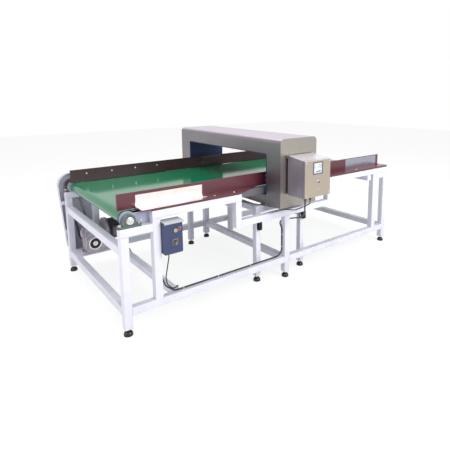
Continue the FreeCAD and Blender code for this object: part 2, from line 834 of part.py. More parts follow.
def cover_screws():
    """The four screws at the corners of the control box's cover."""
    inset = 14.0
    corners = [(x, z) for x in (box_x0 + inset, box_x1 - inset)
               for z in (box_bottom + inset, box_top - inset)]
    dome = [(0, 0), (5.5, 0), (4.2, 2.4), (0, 3.0)]
    return [turned(dome, V(x, box_front_y, z), -Y_AXIS) for x, z in corners]


def glands(cable_radius):
    """The two cable glands under the control box: a threaded collar, a nut and a domed cap."""
    pieces = []
    for x in gland_x:
        nut, top = gland_length - 8.0, gland_length + box_sheet + 6.0
        profile = [(cable_radius, 0), (7.0, 0), (9.5, 6.0), (9.5, nut), (11.5, nut),
                   (11.5, gland_length), (8.0, gland_length), (8.0, top), (cable_radius, top)]
        pieces.append(turned(profile, V(x, gland_y, box_bottom - gland_length), Z_AXIS))
    return pieces


# ---- Chain drive -----------------------------------------------------------------------------

def sprocket(x, z):
    """A sprocket with a seat under each pin of the chain, and a hub towards the frame."""
    seat = chain_roller_radius + 0.12
    seat_reach = math.radians(60)
    tip = pitch_radius + 4.6
    half_land = 1.7 / tip
    tooth = 2 * math.pi / sprocket_teeth
    y = drive_plane_y - sprocket_width / 2

    def at(radius, angle):
        return V(x + radius * math.cos(angle), y, z + radius * math.sin(angle))

    def seat_point(middle, angle):
        centre = at(pitch_radius, middle)
        return centre + V(-seat * math.cos(middle + angle), 0, -seat * math.sin(middle + angle))

    edges = []
    for number in range(sprocket_teeth):
        middle = number * tooth + math.atan2(chain_side.z, chain_side.x)
        low, high = seat_point(middle, seat_reach), seat_point(middle, -seat_reach)
        tip_low = at(tip, middle - tooth / 2 + half_land)
        tip_high = at(tip, middle + tooth / 2 - half_land)
        edges += [Part.LineSegment(tip_low, low), Part.Arc(low, seat_point(middle, 0), high),
                  Part.LineSegment(high, tip_high),
                  Part.LineSegment(tip_high, at(tip, middle + tooth / 2 + half_land))]
    disc = Part.Face(Part.Wire([edge.toShape() for edge in edges])).extrude(V(0, sprocket_width, 0))
    hub = across(23.0, x, z, drive_plane_y - 22.0, drive_plane_y)
    return fused(disc, hub).cut(across(shaft_radius, x, z, drive_plane_y - 30, drive_plane_y + 30))


def chain_pins():
    """The centres of the chain's pins, in order: down one run, round the low sprocket and back."""
    top, low = V(drive_x, drive_plane_y, axis_z), V(gear_x, drive_plane_y, gear_z)
    half_turn = sprocket_teeth // 2
    pins = []
    for centre, way in ((top, 1), (low, -1)):
        pins += [centre + (chain_side * pitch_radius + chain_direction * (link * chain_pitch)) * way
                 for link in range(span_links)]
        far_end = centre + chain_direction * (way * span)
        for step in range(half_turn):
            turn = math.pi * step / half_turn
            pins.append(far_end + (chain_side * math.cos(turn) + chain_direction * math.sin(turn))
                        * (way * pitch_radius))
    return pins


def link_plate():
    """A straight-sided plate of one link, from its first pin along X, round about each pin."""
    end = chain_plate_width / 2
    edges = [Part.Arc(V(0, 0, end), V(-end, 0, 0), V(0, 0, -end)),
             Part.LineSegment(V(0, 0, -end), V(chain_pitch, 0, -end)),
             Part.Arc(V(chain_pitch, 0, -end), V(chain_pitch + end, 0, 0), V(chain_pitch, 0, end)),
             Part.LineSegment(V(chain_pitch, 0, end), V(0, 0, end))]
    face = Part.Face(Part.Wire([edge.toShape() for edge in edges]))
    return face.extrude(V(0, chain_plate, 0))


def chain_plates():
    """The plates of every link: a pair close to the rollers, and the next pair outside them."""
    plate = link_plate()
    pins = chain_pins()
    plates = []
    for number, (start, end) in enumerate(zip(pins, pins[1:] + pins[:1])):
        along = end - start
        turn = FreeCAD.Rotation(Y_AXIS, math.degrees(math.atan2(-along.z, along.x)))
        inside = chain_inner_width / 2 + number % 2 * chain_plate
        for y in (inside, -inside - chain_plate):
            piece = plate.copy()
            piece.Placement = FreeCAD.Placement(start + V(0, y, 0), turn)
            plates.append(piece)
    return plates


def chain_rollers():
    """The rollers on the chain's two straight runs, between the last teeth of the sprockets."""
    first = math.ceil((pitch_radius * 0.35 + chain_roller_radius + 12.0) / chain_pitch)
    half = V(0, chain_inner_width / 2, 0)
    rollers = []
    for link in range(first, span_links - first + 1):
        for way in (1, -1):
            centre = V(drive_x, drive_plane_y, axis_z) + chain_direction * (link * chain_pitch)
            centre += chain_side * (way * pitch_radius)
            rollers.append(rod(chain_roller_radius, centre - half, centre + half))
    return rollers


def case_block(inset, y0, y1):
    """The chain guard's outline, shrunk by an inset, between two planes."""
    round_top = across(guard_case_radius - inset, drive_x, axis_z, y0, y1)
    bottom = gear_z - 116.0 + inset
    outline = [V(drive_x - guard_case_radius + inset, y0, axis_z), V(case_foot_x + inset, y0, bottom),
               V(gear_x + 128.0 - inset, y0, bottom), V(gear_x + 122.0 - inset, y0, gear_z),
               V(drive_x + guard_case_radius - inset, y0, axis_z)]
    body = prism(outline, V(0, y1 - y0, 0))
    low_edges = [edge for edge in edges_along(body, Y_AXIS) if edge.CenterOfMass.z < gear_z - 50]
    return fused(body.makeFillet(60.0 - inset, low_edges), round_top)


def chain_guard():
    """The sheet case over the chain, open towards the frame, with tabs onto the drive-end leg."""
    case = case_block(0, case_near_y, case_far_y)
    case = case.cut(case_block(guard_sheet, case_near_y - 1, case_far_y - guard_sheet))
    tabs = []
    for z in (gear_z + 60.0, gear_z + 300.0):
        lean = (axis_z - z) / (axis_z - gear_z + 116.0)
        rim_x = drive_x - guard_case_radius + lean * (guard_case_radius - guard_case_lead)
        tabs.append(block(rim_x + 0.6, tube - 8.0, outer_y, case_near_y + 3.0, z - 15.0, z + 15.0))
    return fused(case, *tabs)


# ---- Worm gearbox and motor ------------------------------------------------------------------

gearbox_far_y = gearbox_near_y + gearbox_width
gearbox_mid_y = (gearbox_near_y + gearbox_far_y) / 2
gearbox_flange_x = gear_x + gearbox_half_length + 39.0
cover_depth_gear = 12.0


def motor_base():
    """The plate that carries the gearbox, from the end rail to the second cross rail."""
    plate = block(5.0, second_cross_x + tube - 5.0, gearbox_near_y + 15.0, inner_y - 1.0,
                  bottom_rail_top, plate_top)
    return round_edges(plate, 6.0, Z_AXIS)


def gearbox_housing():
    """The cast housing: a wheel case with round covers, feet, and a worm barrel across its top."""
    body_y = (gearbox_near_y + cover_depth_gear, gearbox_far_y - cover_depth_gear)
    wheel_case = block(gear_x - gearbox_half_length, gear_x + gearbox_half_length, *body_y,
                       plate_top + 8.0, worm_z + 44.0)
    wheel_case = round_edges(wheel_case, 22.0, Y_AXIS)
    feet = block(gear_x - 80.0, gear_x + 80.0, body_y[0] + 6.0, body_y[1] - 6.0, plate_top, plate_top + 14.0)
    feet = round_edges(feet, 8.0, Z_AXIS)
    covers = across(62.5, gear_x, gear_z, gearbox_near_y, gearbox_far_y)
    barrel = rod(39.0, V(gear_x - gearbox_half_length - 12.0, gearbox_mid_y, worm_z),
                 V(gearbox_flange_x, gearbox_mid_y, worm_z))
    end_cap = rod(30.0, V(gear_x - gearbox_half_length - 20.0, gearbox_mid_y, worm_z),
                  V(gear_x, gearbox_mid_y, worm_z))
    flange = rod(motor_flange_radius, V(gearbox_flange_x - 12.0, gearbox_mid_y, worm_z),
                 V(gearbox_flange_x, gearbox_mid_y, worm_z))
    housing = fused(wheel_case, feet, covers, barrel, end_cap, flange)
    return housing.cut(across(shaft_radius + bore_clearance, gear_x, gear_z, 0, inner_y))


def gearbox_seals():
    """The raised ring and the shaft seal on each of the gearbox's round covers."""
    rings = []
    for face, way in ((gearbox_near_y, -1), (gearbox_far_y, 1)):
        ring = across(41.0, gear_x, gear_z, *sorted((face, face + way * 4.0)))
        seal = across(30.0, gear_x, gear_z, *sorted((face, face + way * 7.0)))
        bore = across(shaft_radius + bore_clearance, gear_x, gear_z, 0, inner_y)
        rings.append(fused(ring, seal).cut(bore))
    return rings


def output_shaft():
    """The gearbox's output shaft, from its near cover to the sprocket behind the far side."""
    return across(shaft_radius, gear_x, gear_z, gearbox_near_y - 12.0, drive_plane_y + 14.0)


def cover_bolts():
    """The bolts round the gearbox's near cover and those of its feet and of the motor's flange."""
    bolts = []
    for number in range(6):
        angle = math.radians(60 * number + 30)
        x, z = gear_x + 53.0 * math.cos(angle), gear_z + 53.0 * math.sin(angle)
        bolts.append(across(5.0, x, z, gearbox_near_y - 4.0, gearbox_near_y))
    for x in (gear_x - 71.0, gear_x + 71.0):
        for y in (gearbox_near_y + 30.0, gearbox_far_y - 30.0):
            bolts.append(hexagon(13.0, V(x, y, plate_top + 14.0), 6.0))
    for number in range(4):
        angle = math.radians(90 * number + 45)
        y = gearbox_mid_y + 86.0 * math.cos(angle)
        z = worm_z + 86.0 * math.sin(angle)
        bolts.append(rod(6.0, V(gearbox_flange_x - 19.0, y, z), V(gearbox_flange_x - 12.0, y, z)))
    return bolts


def motor():
    """The motor: a flange, a finned barrel and an end bell."""
    x0 = gearbox_flange_x
    flange = rod(motor_flange_radius, V(x0, gearbox_mid_y, worm_z), V(x0 + 10.0, gearbox_mid_y, worm_z))
    core = rod(motor_radius - 9.0, V(x0, gearbox_mid_y, worm_z),
               V(x0 + motor_length, gearbox_mid_y, worm_z))
    fins = 28
    outline = []
    for number in range(fins):
        for radius, turn in ((motor_radius - 9.5, 0), (motor_radius, 0.12), (motor_radius, 0.42),
                             (motor_radius - 9.5, 0.54)):
            angle = 2 * math.pi * (number + turn) / fins
            y, z = radius * math.cos(angle), radius * math.sin(angle)
            outline.append(V(x0 + 10.0, gearbox_mid_y + y, worm_z + z))
    barrel = prism(outline, V(motor_length - 10.0, 0, 0))
    return fused(flange, core, barrel)


def fan_cowl():
    """The cowl over the motor's fan, with a rounded end and a round air inlet."""
    x0 = gearbox_flange_x + motor_length
    skin = 2.0
    radius = motor_radius + 1.0
    cowl = rod(radius, V(x0, gearbox_mid_y, worm_z), V(x0 + cowl_length, gearbox_mid_y, worm_z))
    end = [edge for edge in cowl.Edges if abs(edge.CenterOfMass.x - x0 - cowl_length) < 0.01]
    cowl = cowl.makeFillet(12.0, end)
    inlet = rod(motor_radius - 34.0, V(x0 + cowl_length - 6.0, gearbox_mid_y, worm_z),
                V(x0 + cowl_length + 1, gearbox_mid_y, worm_z))
    hub = rod(14.0, V(x0 + cowl_length - 6.0, gearbox_mid_y, worm_z),
              V(x0 + cowl_length - skin, gearbox_mid_y, worm_z))
    return cowl.cut(inlet.cut(hub))


terminal_centre_x = gearbox_flange_x + 76.0


def terminal_box():
    """The motor's terminal box, on the side that faces the belt's centre line."""
    y1 = gearbox_mid_y - motor_radius + 6.0
    x0, x1 = terminal_centre_x - 42.0, terminal_centre_x + 42.0
    box = block(x0, x1, y1 - 40.0, y1, worm_z - 36.0, worm_z + 36.0)
    return round_edges(box, 7.0, Y_AXIS).cut(motor())


# ---- Switch box ------------------------------------------------------------------------------

switch_x0 = second_leg_x + tube + switch_gap
switch_x1 = switch_x0 + switch_width
switch_top = switch_bottom + switch_height
switch_back_y = -outer_y + 39.0
switch_front_y = switch_back_y - switch_depth
start_centre = V(switch_x1 - 50.0, 0, switch_top - 59.0)
stop_centre = V(switch_x1 - 25.0, 0, switch_top - 51.0)
knob_centre = V(switch_x1 - 53.0, 0, switch_bottom + 74.0)
start_radius = 9.5
stop_radius = 9.0
switch_travel = 4.0
knob_radius = 14.0
spindle_radius = 3.0
scale_size = 46.0


def switch_box():
    """The moulded switch box, with bores for its two buttons and its speed knob."""
    body = block(switch_x0, switch_x1, switch_front_y, switch_back_y, switch_bottom, switch_top)
    body = round_edges(body, 9.0, Y_AXIS)
    front = [edge for edge in body.Edges if abs(edge.CenterOfMass.y - switch_front_y) < 0.01]
    body = body.makeFillet(3.0, front)
    for centre, radius in ((start_centre, start_radius), (stop_centre, stop_radius)):
        body = body.cut(across(radius + button_gap, centre.x, centre.z,
                               switch_front_y - 1, switch_front_y + 24.0))
    return body.cut(across(spindle_radius + bore_clearance, knob_centre.x, knob_centre.z,
                           switch_front_y - 1, switch_front_y + 20.0))


def switch_collars():
    """The collars round the two buttons."""
    collars = []
    for centre, radius in ((start_centre, start_radius), (stop_centre, stop_radius)):
        ring = across(radius + 2.8, centre.x, centre.z, switch_front_y - 5.0, switch_front_y)
        collars.append(ring.cut(across(radius + button_gap, centre.x, centre.z,
                                       switch_front_y - 6.0, switch_front_y + 1.0)))
    return collars


def switch_button(centre, radius, proud):
    """A sprung button that stands proud of its collar."""
    cap = across(radius, centre.x, centre.z, switch_front_y - 5.0 - proud, switch_front_y + 16.0)
    rim = [edge for edge in cap.Edges if abs(edge.CenterOfMass.y - switch_front_y + 5.0 + proud) < 0.01]
    return cap.makeFillet(min(2.0, proud / 2), rim)


def scale_plate():
    """The square plate behind the speed knob."""
    half = scale_size / 2
    plate = block(knob_centre.x - half, knob_centre.x + half, switch_front_y - 1.5, switch_front_y,
                  knob_centre.z - half, knob_centre.z + half)
    return plate.cut(across(spindle_radius + 0.5, knob_centre.x, knob_centre.z, switch_front_y - 3,
                            switch_front_y + 1))


def speed_knob():
    """The speed knob: a tapered grip with a pointer, on its spindle."""
    base_y = switch_front_y - 1.5 - 0.6
    profile = [(0, 0), (knob_radius, 0), (knob_radius, 5.0), (knob_radius - 3.0, 17.0), (0, 17.0)]
    grip = turned(profile, V(knob_centre.x, base_y, knob_centre.z), -Y_AXIS)
    pointer = block(knob_centre.x - 1.2, knob_centre.x + 1.2, base_y - 18.2, base_y - 16.0,
                    knob_centre.z, knob_centre.z + knob_radius - 3.5)
    spindle = across(spindle_radius, knob_centre.x, knob_centre.z, base_y, switch_front_y + 18.0)
    return fused(grip, pointer, spindle)


def switch_hood():
    """The bent sheet over the switch box, with a lip along its front."""
    x0, x1, front = switch_x0 - 2.0, switch_x1 + 4.0, switch_front_y - 14.0
    top = block(x0, x1, front, switch_back_y, switch_top, switch_top + 2.0)
    lip = block(x0, x1, front, front + 2.0, switch_top - 10.0, switch_top + 2.0)
    return fused(top, lip)


def switch_bracket():
    """The plate between the second leg and the switch box."""
    return block(second_leg_x + tube, switch_x0, -outer_y + 4.0, switch_back_y - 3.0,
                 switch_bottom + 20.0, switch_top - 20.0)


# ---- Cables ----------------------------------------------------------------------------------

def cable(points, radius, bend):
    """A cable of straight runs joined by arcs, and the radii of those arcs.

    An arc takes at most 0.45 of the shorter of its two runs, and is no wider than the bend.
    """
    edges = []
    radii = []
    start = points[0]
    for before, corner, after in zip(points, points[1:], points[2:]):
        back, ahead = before - corner, after - corner
        half_turn = (math.pi - back.getAngle(ahead)) / 2
        arc = min(0.45 * min(back.Length, ahead.Length) / math.tan(half_turn), bend)
        back.normalize()
        ahead.normalize()
        reach = arc * math.tan(half_turn)
        inward = (back + ahead).normalize()
        middle = corner + inward * (arc / math.cos(half_turn) - arc)
        edges.append(Part.LineSegment(start, corner + back * reach))
        edges.append(Part.Arc(corner + back * reach, middle, corner + ahead * reach))
        start = corner + ahead * reach
        radii.append(round(arc, 1))
    edges.append(Part.LineSegment(start, points[-1]))
    path = Part.Wire([edge.toShape() for edge in edges])
    ring = Part.Wire([Part.Circle(points[0], points[1] - points[0], radius).toShape()])
    solid = path.makePipeShell([ring], True, False)
    section = math.pi * radius ** 2
    print("cable arcs", radii, "length", round(path.Length), "volume ratio",
          round(solid.Volume / (section * path.Length), 4))
    return solid


cable_radius = 5.0
lead_radius = 3.5
cable_bend = 55.0
lead_bend = 36.0
tie_thickness = 2.0
coupler_size = (30.0, 27.0, 68.0)
coupler_bottom = stand_top - 182.0
near_leg_face = -stand_pitch_y / 2 - stand_tube / 2
coupler_x = head_x + stand_pitch_x / 2
coupler_mid_y = near_leg_face - coupler_size[1] / 2


def couplers():
    """The cable couplers on the near faces of the stand's two near legs."""
    half = coupler_size[0] / 2
    pieces = []
    for end in SIDES:
        x = head_x + end * stand_pitch_x / 2
        box = block(x - half, x + half, near_leg_face - coupler_size[1], near_leg_face,
                    coupler_bottom, coupler_bottom + coupler_size[2])
        pieces.append(round_edges(box, 3.0, Z_AXIS))
    return pieces


def detector_supply():
    """The cable from the switch box, along the bottom rail and up the middle leg to the coupler."""
    back = switch_back_y
    rail = bottom_rail_top + cable_radius + tie_thickness
    y = -inner_y - 18.0
    side_x = middle_leg_x - cable_radius - tie_thickness
    behind = -inner_y + cable_radius
    points = [V(switch_x0 + 20.0, back, switch_bottom + 40.0),
              V(switch_x0 + 20.0, behind + 6, switch_bottom + 40.0),
              V(switch_x0 + 12.0, behind + 4, 300.0), V(switch_x0 + 32.0, behind - 12, 226.0),
              V(switch_x0 + 90.0, y, rail), V(side_x, y, rail), V(side_x, y, coupler_bottom - 18.0),
              V(side_x, behind + 6, coupler_bottom + 30.0),
              V(middle_leg_x + 70.0, behind + 12, coupler_bottom + 34.0),
              V(coupler_x - coupler_size[0] / 2 - 40.0, coupler_mid_y, coupler_bottom + 16.0),
              V(coupler_x - coupler_size[0] / 2, coupler_mid_y, coupler_bottom + 16.0)]
    return cable(points, cable_radius, cable_bend)


def control_supply():
    """The cable from the coupler, under the low rail and up to the control box's first gland."""
    start = V(coupler_x - coupler_size[0] / 2, coupler_mid_y, coupler_bottom + 50.0)
    end = V(gland_x[0], gland_y, box_bottom - gland_length)
    points = [start, start - V(40.0, 0, 0), V(start.x - 110.0, -outer_y - 18.0, low_rail_top - 90.0),
              V(end.x + 120.0, -outer_y - 130.0, low_rail_top - 20.0),
              V(end.x + 34.0, end.y + 36.0, end.z - 94.0),
              V(end.x, end.y, end.z - 46.0), end]
    return cable(points, cable_radius, 80.0)


def signal_lead():
    """The lead from the second gland, over the low rail and up beside the bed to its sensor."""
    end = V(gland_x[1], gland_y, box_bottom - gland_length)
    over = low_rail_top + lead_radius + 4.0
    points = [end, end - V(0, 0, 30.0), V(end.x + 8.0, -outer_y - 190.0, low_rail_top + 66.0),
              V(end.x + 12.0, -outer_y - 90.0, over + 8.0), V(end.x - 20.0, -outer_y + 4.0, over),
              V(end.x - 130.0, -outer_y + 30.0, over + 38.0),
              V(infeed_deck + 150.0, -inner_y + 8.0, deck_bottom - 56.0),
              V(infeed_deck + 60.0, -inner_y + 14.0, deck_bottom - 14.0),
              V(infeed_deck - 20.0, -inner_y + 16.0, sensor_z),
              V(sensor_x1, -inner_y + 16.0, sensor_z)]
    return cable(points, lead_radius, lead_bend * 2)


def motor_lead():
    """The lead from the switch box, behind the bottom rail and along the cross rail to the motor."""
    x = switch_x0 + 45.0
    beside = second_cross_x + tube + lead_radius
    behind = -inner_y + lead_radius + 1.0
    low = bottom_rail_top - 20.0
    up_y = gearbox_near_y - 60.0
    terminal = V(terminal_centre_x + 10.0, gearbox_mid_y - motor_radius - 14.0, worm_z - 36.0)
    over = bottom_rail_top + lead_radius + 5.0
    points = [V(x, -outer_y + 4.0, switch_bottom), V(x, -outer_y + 4.0, switch_bottom - 30.0),
              V(x - 14.0, -outer_y + 28.0, 290.0), V(x + 6.0, behind, 226.0),
              V(x + 46.0, behind + 4.0, over),
              V(beside + 2.0, behind + 18.0, over), V(beside + 6.0, behind + 80.0, low),
              V(beside, up_y - 60.0, low), V(beside, up_y + 10.0, low + 30.0),
              V(terminal.x, terminal.y, terminal.z - 70.0), terminal]
    return cable(points, lead_radius, lead_bend)


sensor_x0 = infeed_deck - 122.0
sensor_x1 = sensor_x0 + 44.0
sensor_z = deck_bottom + 14.0


def belt_sensor():
    """The small sensor on the bed's flange that the signal lead ends at."""
    return block(sensor_x0, sensor_x1, -bed_half_width - 26.0, -bed_half_width,
                 sensor_z - 11.0, sensor_z + 18.0)


def lead_glands():
    """The glands under the switch box, at its back and under the motor's terminal box."""
    profile = [(lead_radius, 0), (6.0, 0), (8.0, 5.0), (8.0, 12.0), (lead_radius, 12.0)]
    pieces = []
    foot = V(switch_x0 + 45.0, -outer_y + 4.0, switch_bottom)
    pieces.append(turned(profile, foot - V(0, 0, 12.0), Z_AXIS))
    return pieces


def cable_ties():
    """The ties round the cable where it is clipped to the bottom rail and the middle leg."""
    y = -inner_y - 18.0
    outer, width = cable_radius + tie_thickness, 5.0
    z = bottom_rail_top + outer
    ties = []
    for x in (switch_x0 + 150.0, switch_x0 + 420.0, switch_x0 + 700.0):
        ring = rod(outer, V(x, y, z), V(x + width, y, z))
        ties.append(ring.cut(rod(cable_radius, V(x - 1, y, z), V(x + width + 1, y, z))))
    side_x = middle_leg_x - outer
    for z0 in (250.0, 350.0):
        ring = rod(outer, V(side_x, y, z0), V(side_x, y, z0 + width))
        ties.append(ring.cut(rod(cable_radius, V(side_x, y, z0 - 1), V(side_x, y, z0 + width + 1))))
    return ties


# ---- Take-up nuts ----------------------------------------------------------------------------

def takeup_nuts():
    """The nuts on the lugs that draw the take-up studs."""
    inner, outer = takeup_block_y()
    nuts = []
    for side in SIDES:
        y = side * (inner + outer) / 2
        nut = hexagon(17.0, V(), 8.0)
        nut.Placement = FreeCAD.Placement(V(lug_x, y, axis_z), FreeCAD.Rotation(Z_AXIS, X_AXIS))
        nuts.append(nut.cut(rod(stud_radius + 0.1, V(lug_x - 1, y, axis_z), V(lug_x + 9, y, axis_z))))
    return nuts


# ---- The sub-parts ---------------------------------------------------------------------------

os.makedirs("parts", exist_ok=True)

save("frame_near", side_frame(NEAR))
save("frame_far", side_frame(FAR))
save("cross_rails", cross_rails())
save("foot_pads", [foot_pad(x, y) for x, y in foot_places()])
save("foot_stems", [foot_stem(x, y) for x, y in foot_places()])
save("detector_stand", detector_stand())

save("belt", [belt()])
save("drive_drum", [drum(drive_x)])
save("drive_shaft", [drive_shaft()])
save("drive_sprocket", [sprocket(drive_x, axis_z)])
save("pillow_blocks", [pillow_block(side) for side in SIDES])
save("drive_side_plates", [drive_side_plate(side) for side in SIDES])
save("infeed_return_roller", [return_roller(drive_x + roller_offset)])
save("outfeed_return_roller", [return_roller(tail_x - roller_offset)])
save("roller_axles", [roller_axle(drive_x + roller_offset), roller_axle(tail_x - roller_offset)])
save("tail_drum", [tail_drum()])
save("tail_side_plates", [tail_side_plate(side) for side in SIDES])
save("takeup_blocks", [fused(takeup_block(side), takeup_stud(side)) for side in SIDES])

bed_joint_in = infeed_deck - tube / 2
bed_joint_out = outfeed_x + tube / 2
infeed_bed = steel_bed(drive_x + bed_drum_gap, bed_joint_in, second_leg_x, bed_joint_in)
outfeed_bed = steel_bed(bed_joint_out, tail_x - bed_drum_gap, bed_joint_out, deck_cross_x + tube)
save("steel_beds", [infeed_bed, outfeed_bed])
save("middle_bed", [middle_bed(bed_joint_in, bed_joint_out)])

save("infeed_guard_near", [infeed_guard()])
save("infeed_guard_far", [mirrored(infeed_guard())])
save("outfeed_guard_near", [outfeed_guard()])
save("outfeed_guard_far", [mirrored(outfeed_guard())])
save("guard_packers", guard_packers(NEAR) + guard_packers(FAR))
save("guard_cover_plates", [infeed_cover_plate(), outfeed_cover_plate()])

save("head_shell", [head_shell()])
save("aperture_liner", [aperture_liner()])
save("search_coils", search_coils())
save("head_pads", head_pads())

save("control_box", [control_box()])
save("control_cover", [control_cover()])
save("display", [display()])
save("panel_button", [panel_button()])
save("panel_lamp", [panel_lamp()])
save("circuit_board", [circuit_board()])
save("box_brackets", control_bracket() + [switch_bracket()])

save("drive_chain", chain_plates() + chain_rollers())
save("chain_guard", [chain_guard()])
save("gearbox_housing", [gearbox_housing()])
save("gearbox_seals", gearbox_seals())
save("output_shaft", [output_shaft()])
save("output_sprocket", [sprocket(gear_x, gear_z)])
save("motor_plate", [motor_base()])
save("motor_body", [motor()])
save("motor_covers", [fan_cowl(), terminal_box()])

save("switch_box", [switch_box()])
save("switch_trim", switch_collars() + [scale_plate()])
save("start_button", [switch_button(start_centre, start_radius, 1.0)])
save("stop_button", [switch_button(stop_centre, stop_radius, 5.0)])
save("speed_knob", [speed_knob()])
save("switch_hood", [switch_hood()])

save("cable_couplers", couplers() + [belt_sensor()])
save("supply_cables", [detector_supply(), control_supply()])
save("signal_lead", [signal_lead()])
save("motor_lead", [motor_lead()])
save("cable_glands", glands(cable_radius) + lead_glands())
save("cable_ties", cable_ties())

save("fasteners", bearing_bolts() + guard_screws() + cover_screws() + cover_bolts() + takeup_nuts())
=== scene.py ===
"""Look of a conveyor metal detector: its finishes, its fine parts, the studio and the camera."""

from __future__ import annotations

import logging
import math
from dataclasses import dataclass, field
from enum import Enum
from typing import Iterable, Sequence, Union

import bmesh
import bpy
from mathutils import Matrix, Vector

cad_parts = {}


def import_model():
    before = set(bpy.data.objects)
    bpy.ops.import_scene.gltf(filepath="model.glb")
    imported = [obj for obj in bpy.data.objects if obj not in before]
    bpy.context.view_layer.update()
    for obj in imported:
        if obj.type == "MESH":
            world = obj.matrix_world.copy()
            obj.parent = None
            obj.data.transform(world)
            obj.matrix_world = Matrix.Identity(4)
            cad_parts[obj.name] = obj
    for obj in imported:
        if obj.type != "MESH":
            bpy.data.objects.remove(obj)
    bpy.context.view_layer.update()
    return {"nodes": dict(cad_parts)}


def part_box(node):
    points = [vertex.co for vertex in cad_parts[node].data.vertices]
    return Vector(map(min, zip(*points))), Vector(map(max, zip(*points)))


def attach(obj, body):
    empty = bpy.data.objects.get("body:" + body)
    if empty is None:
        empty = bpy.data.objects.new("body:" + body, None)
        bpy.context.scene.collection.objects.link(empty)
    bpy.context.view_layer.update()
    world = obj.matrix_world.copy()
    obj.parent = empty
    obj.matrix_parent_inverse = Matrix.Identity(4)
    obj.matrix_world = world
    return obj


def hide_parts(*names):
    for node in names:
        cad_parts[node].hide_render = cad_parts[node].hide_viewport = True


LOG = logging.getLogger("conveyor")

Number = Union[int, float]
Triple = tuple[float, float, float]
Box = tuple[Vector, Vector]


# ---- Shader maths --------------------------------------------------------------------------


class Signal:
    """A node's output socket that can be added and multiplied like a number."""

    def __init__(self, book: "Workbook", socket: bpy.types.NodeSocket) -> None:
        """Wraps a socket of a material that is being written.

        Args:
            book: the workbook of that material.
            socket: the output to wrap.
        """
        self.book = book
        self.socket = socket

    def _math(self, operation: str, *values: "Signal | Number") -> "Signal":
        """Adds one Math node and returns its result."""
        return self.book.node("ShaderNodeMath", {"operation": operation}, dict(enumerate(values)))

    def __add__(self, other: "Signal | Number") -> "Signal":
        """Sum."""
        return self._math("ADD", self, other)

    __radd__ = __add__

    def __sub__(self, other: "Signal | Number") -> "Signal":
        """Difference."""
        return self._math("SUBTRACT", self, other)

    def __rsub__(self, other: "Signal | Number") -> "Signal":
        """Difference from a number, so that 1 - mask works."""
        return self._math("SUBTRACT", other, self)

    def __mul__(self, other: "Signal | Number") -> "Signal":
        """Product."""
        return self._math("MULTIPLY", self, other)

    __rmul__ = __mul__

    def __abs__(self) -> "Signal":
        """Distance from zero."""
        return self._math("ABSOLUTE", self)

    def clamp(self) -> "Signal":
        """Kept between zero and one."""
        return self.book.node("ShaderNodeClamp", {}, {"Value": self})

    def step(self, low: float, high: float) -> "Signal":
        """Rises from zero at low to one at high, smoothly.

        Args:
            low: where the rise starts.
            high: where it ends.

        Returns:
            The smoothed signal.
        """
        ends = {"Value": self, "From Min": low, "From Max": high}
        return self.book.node("ShaderNodeMapRange", {"interpolation_type": "SMOOTHSTEP"}, ends)


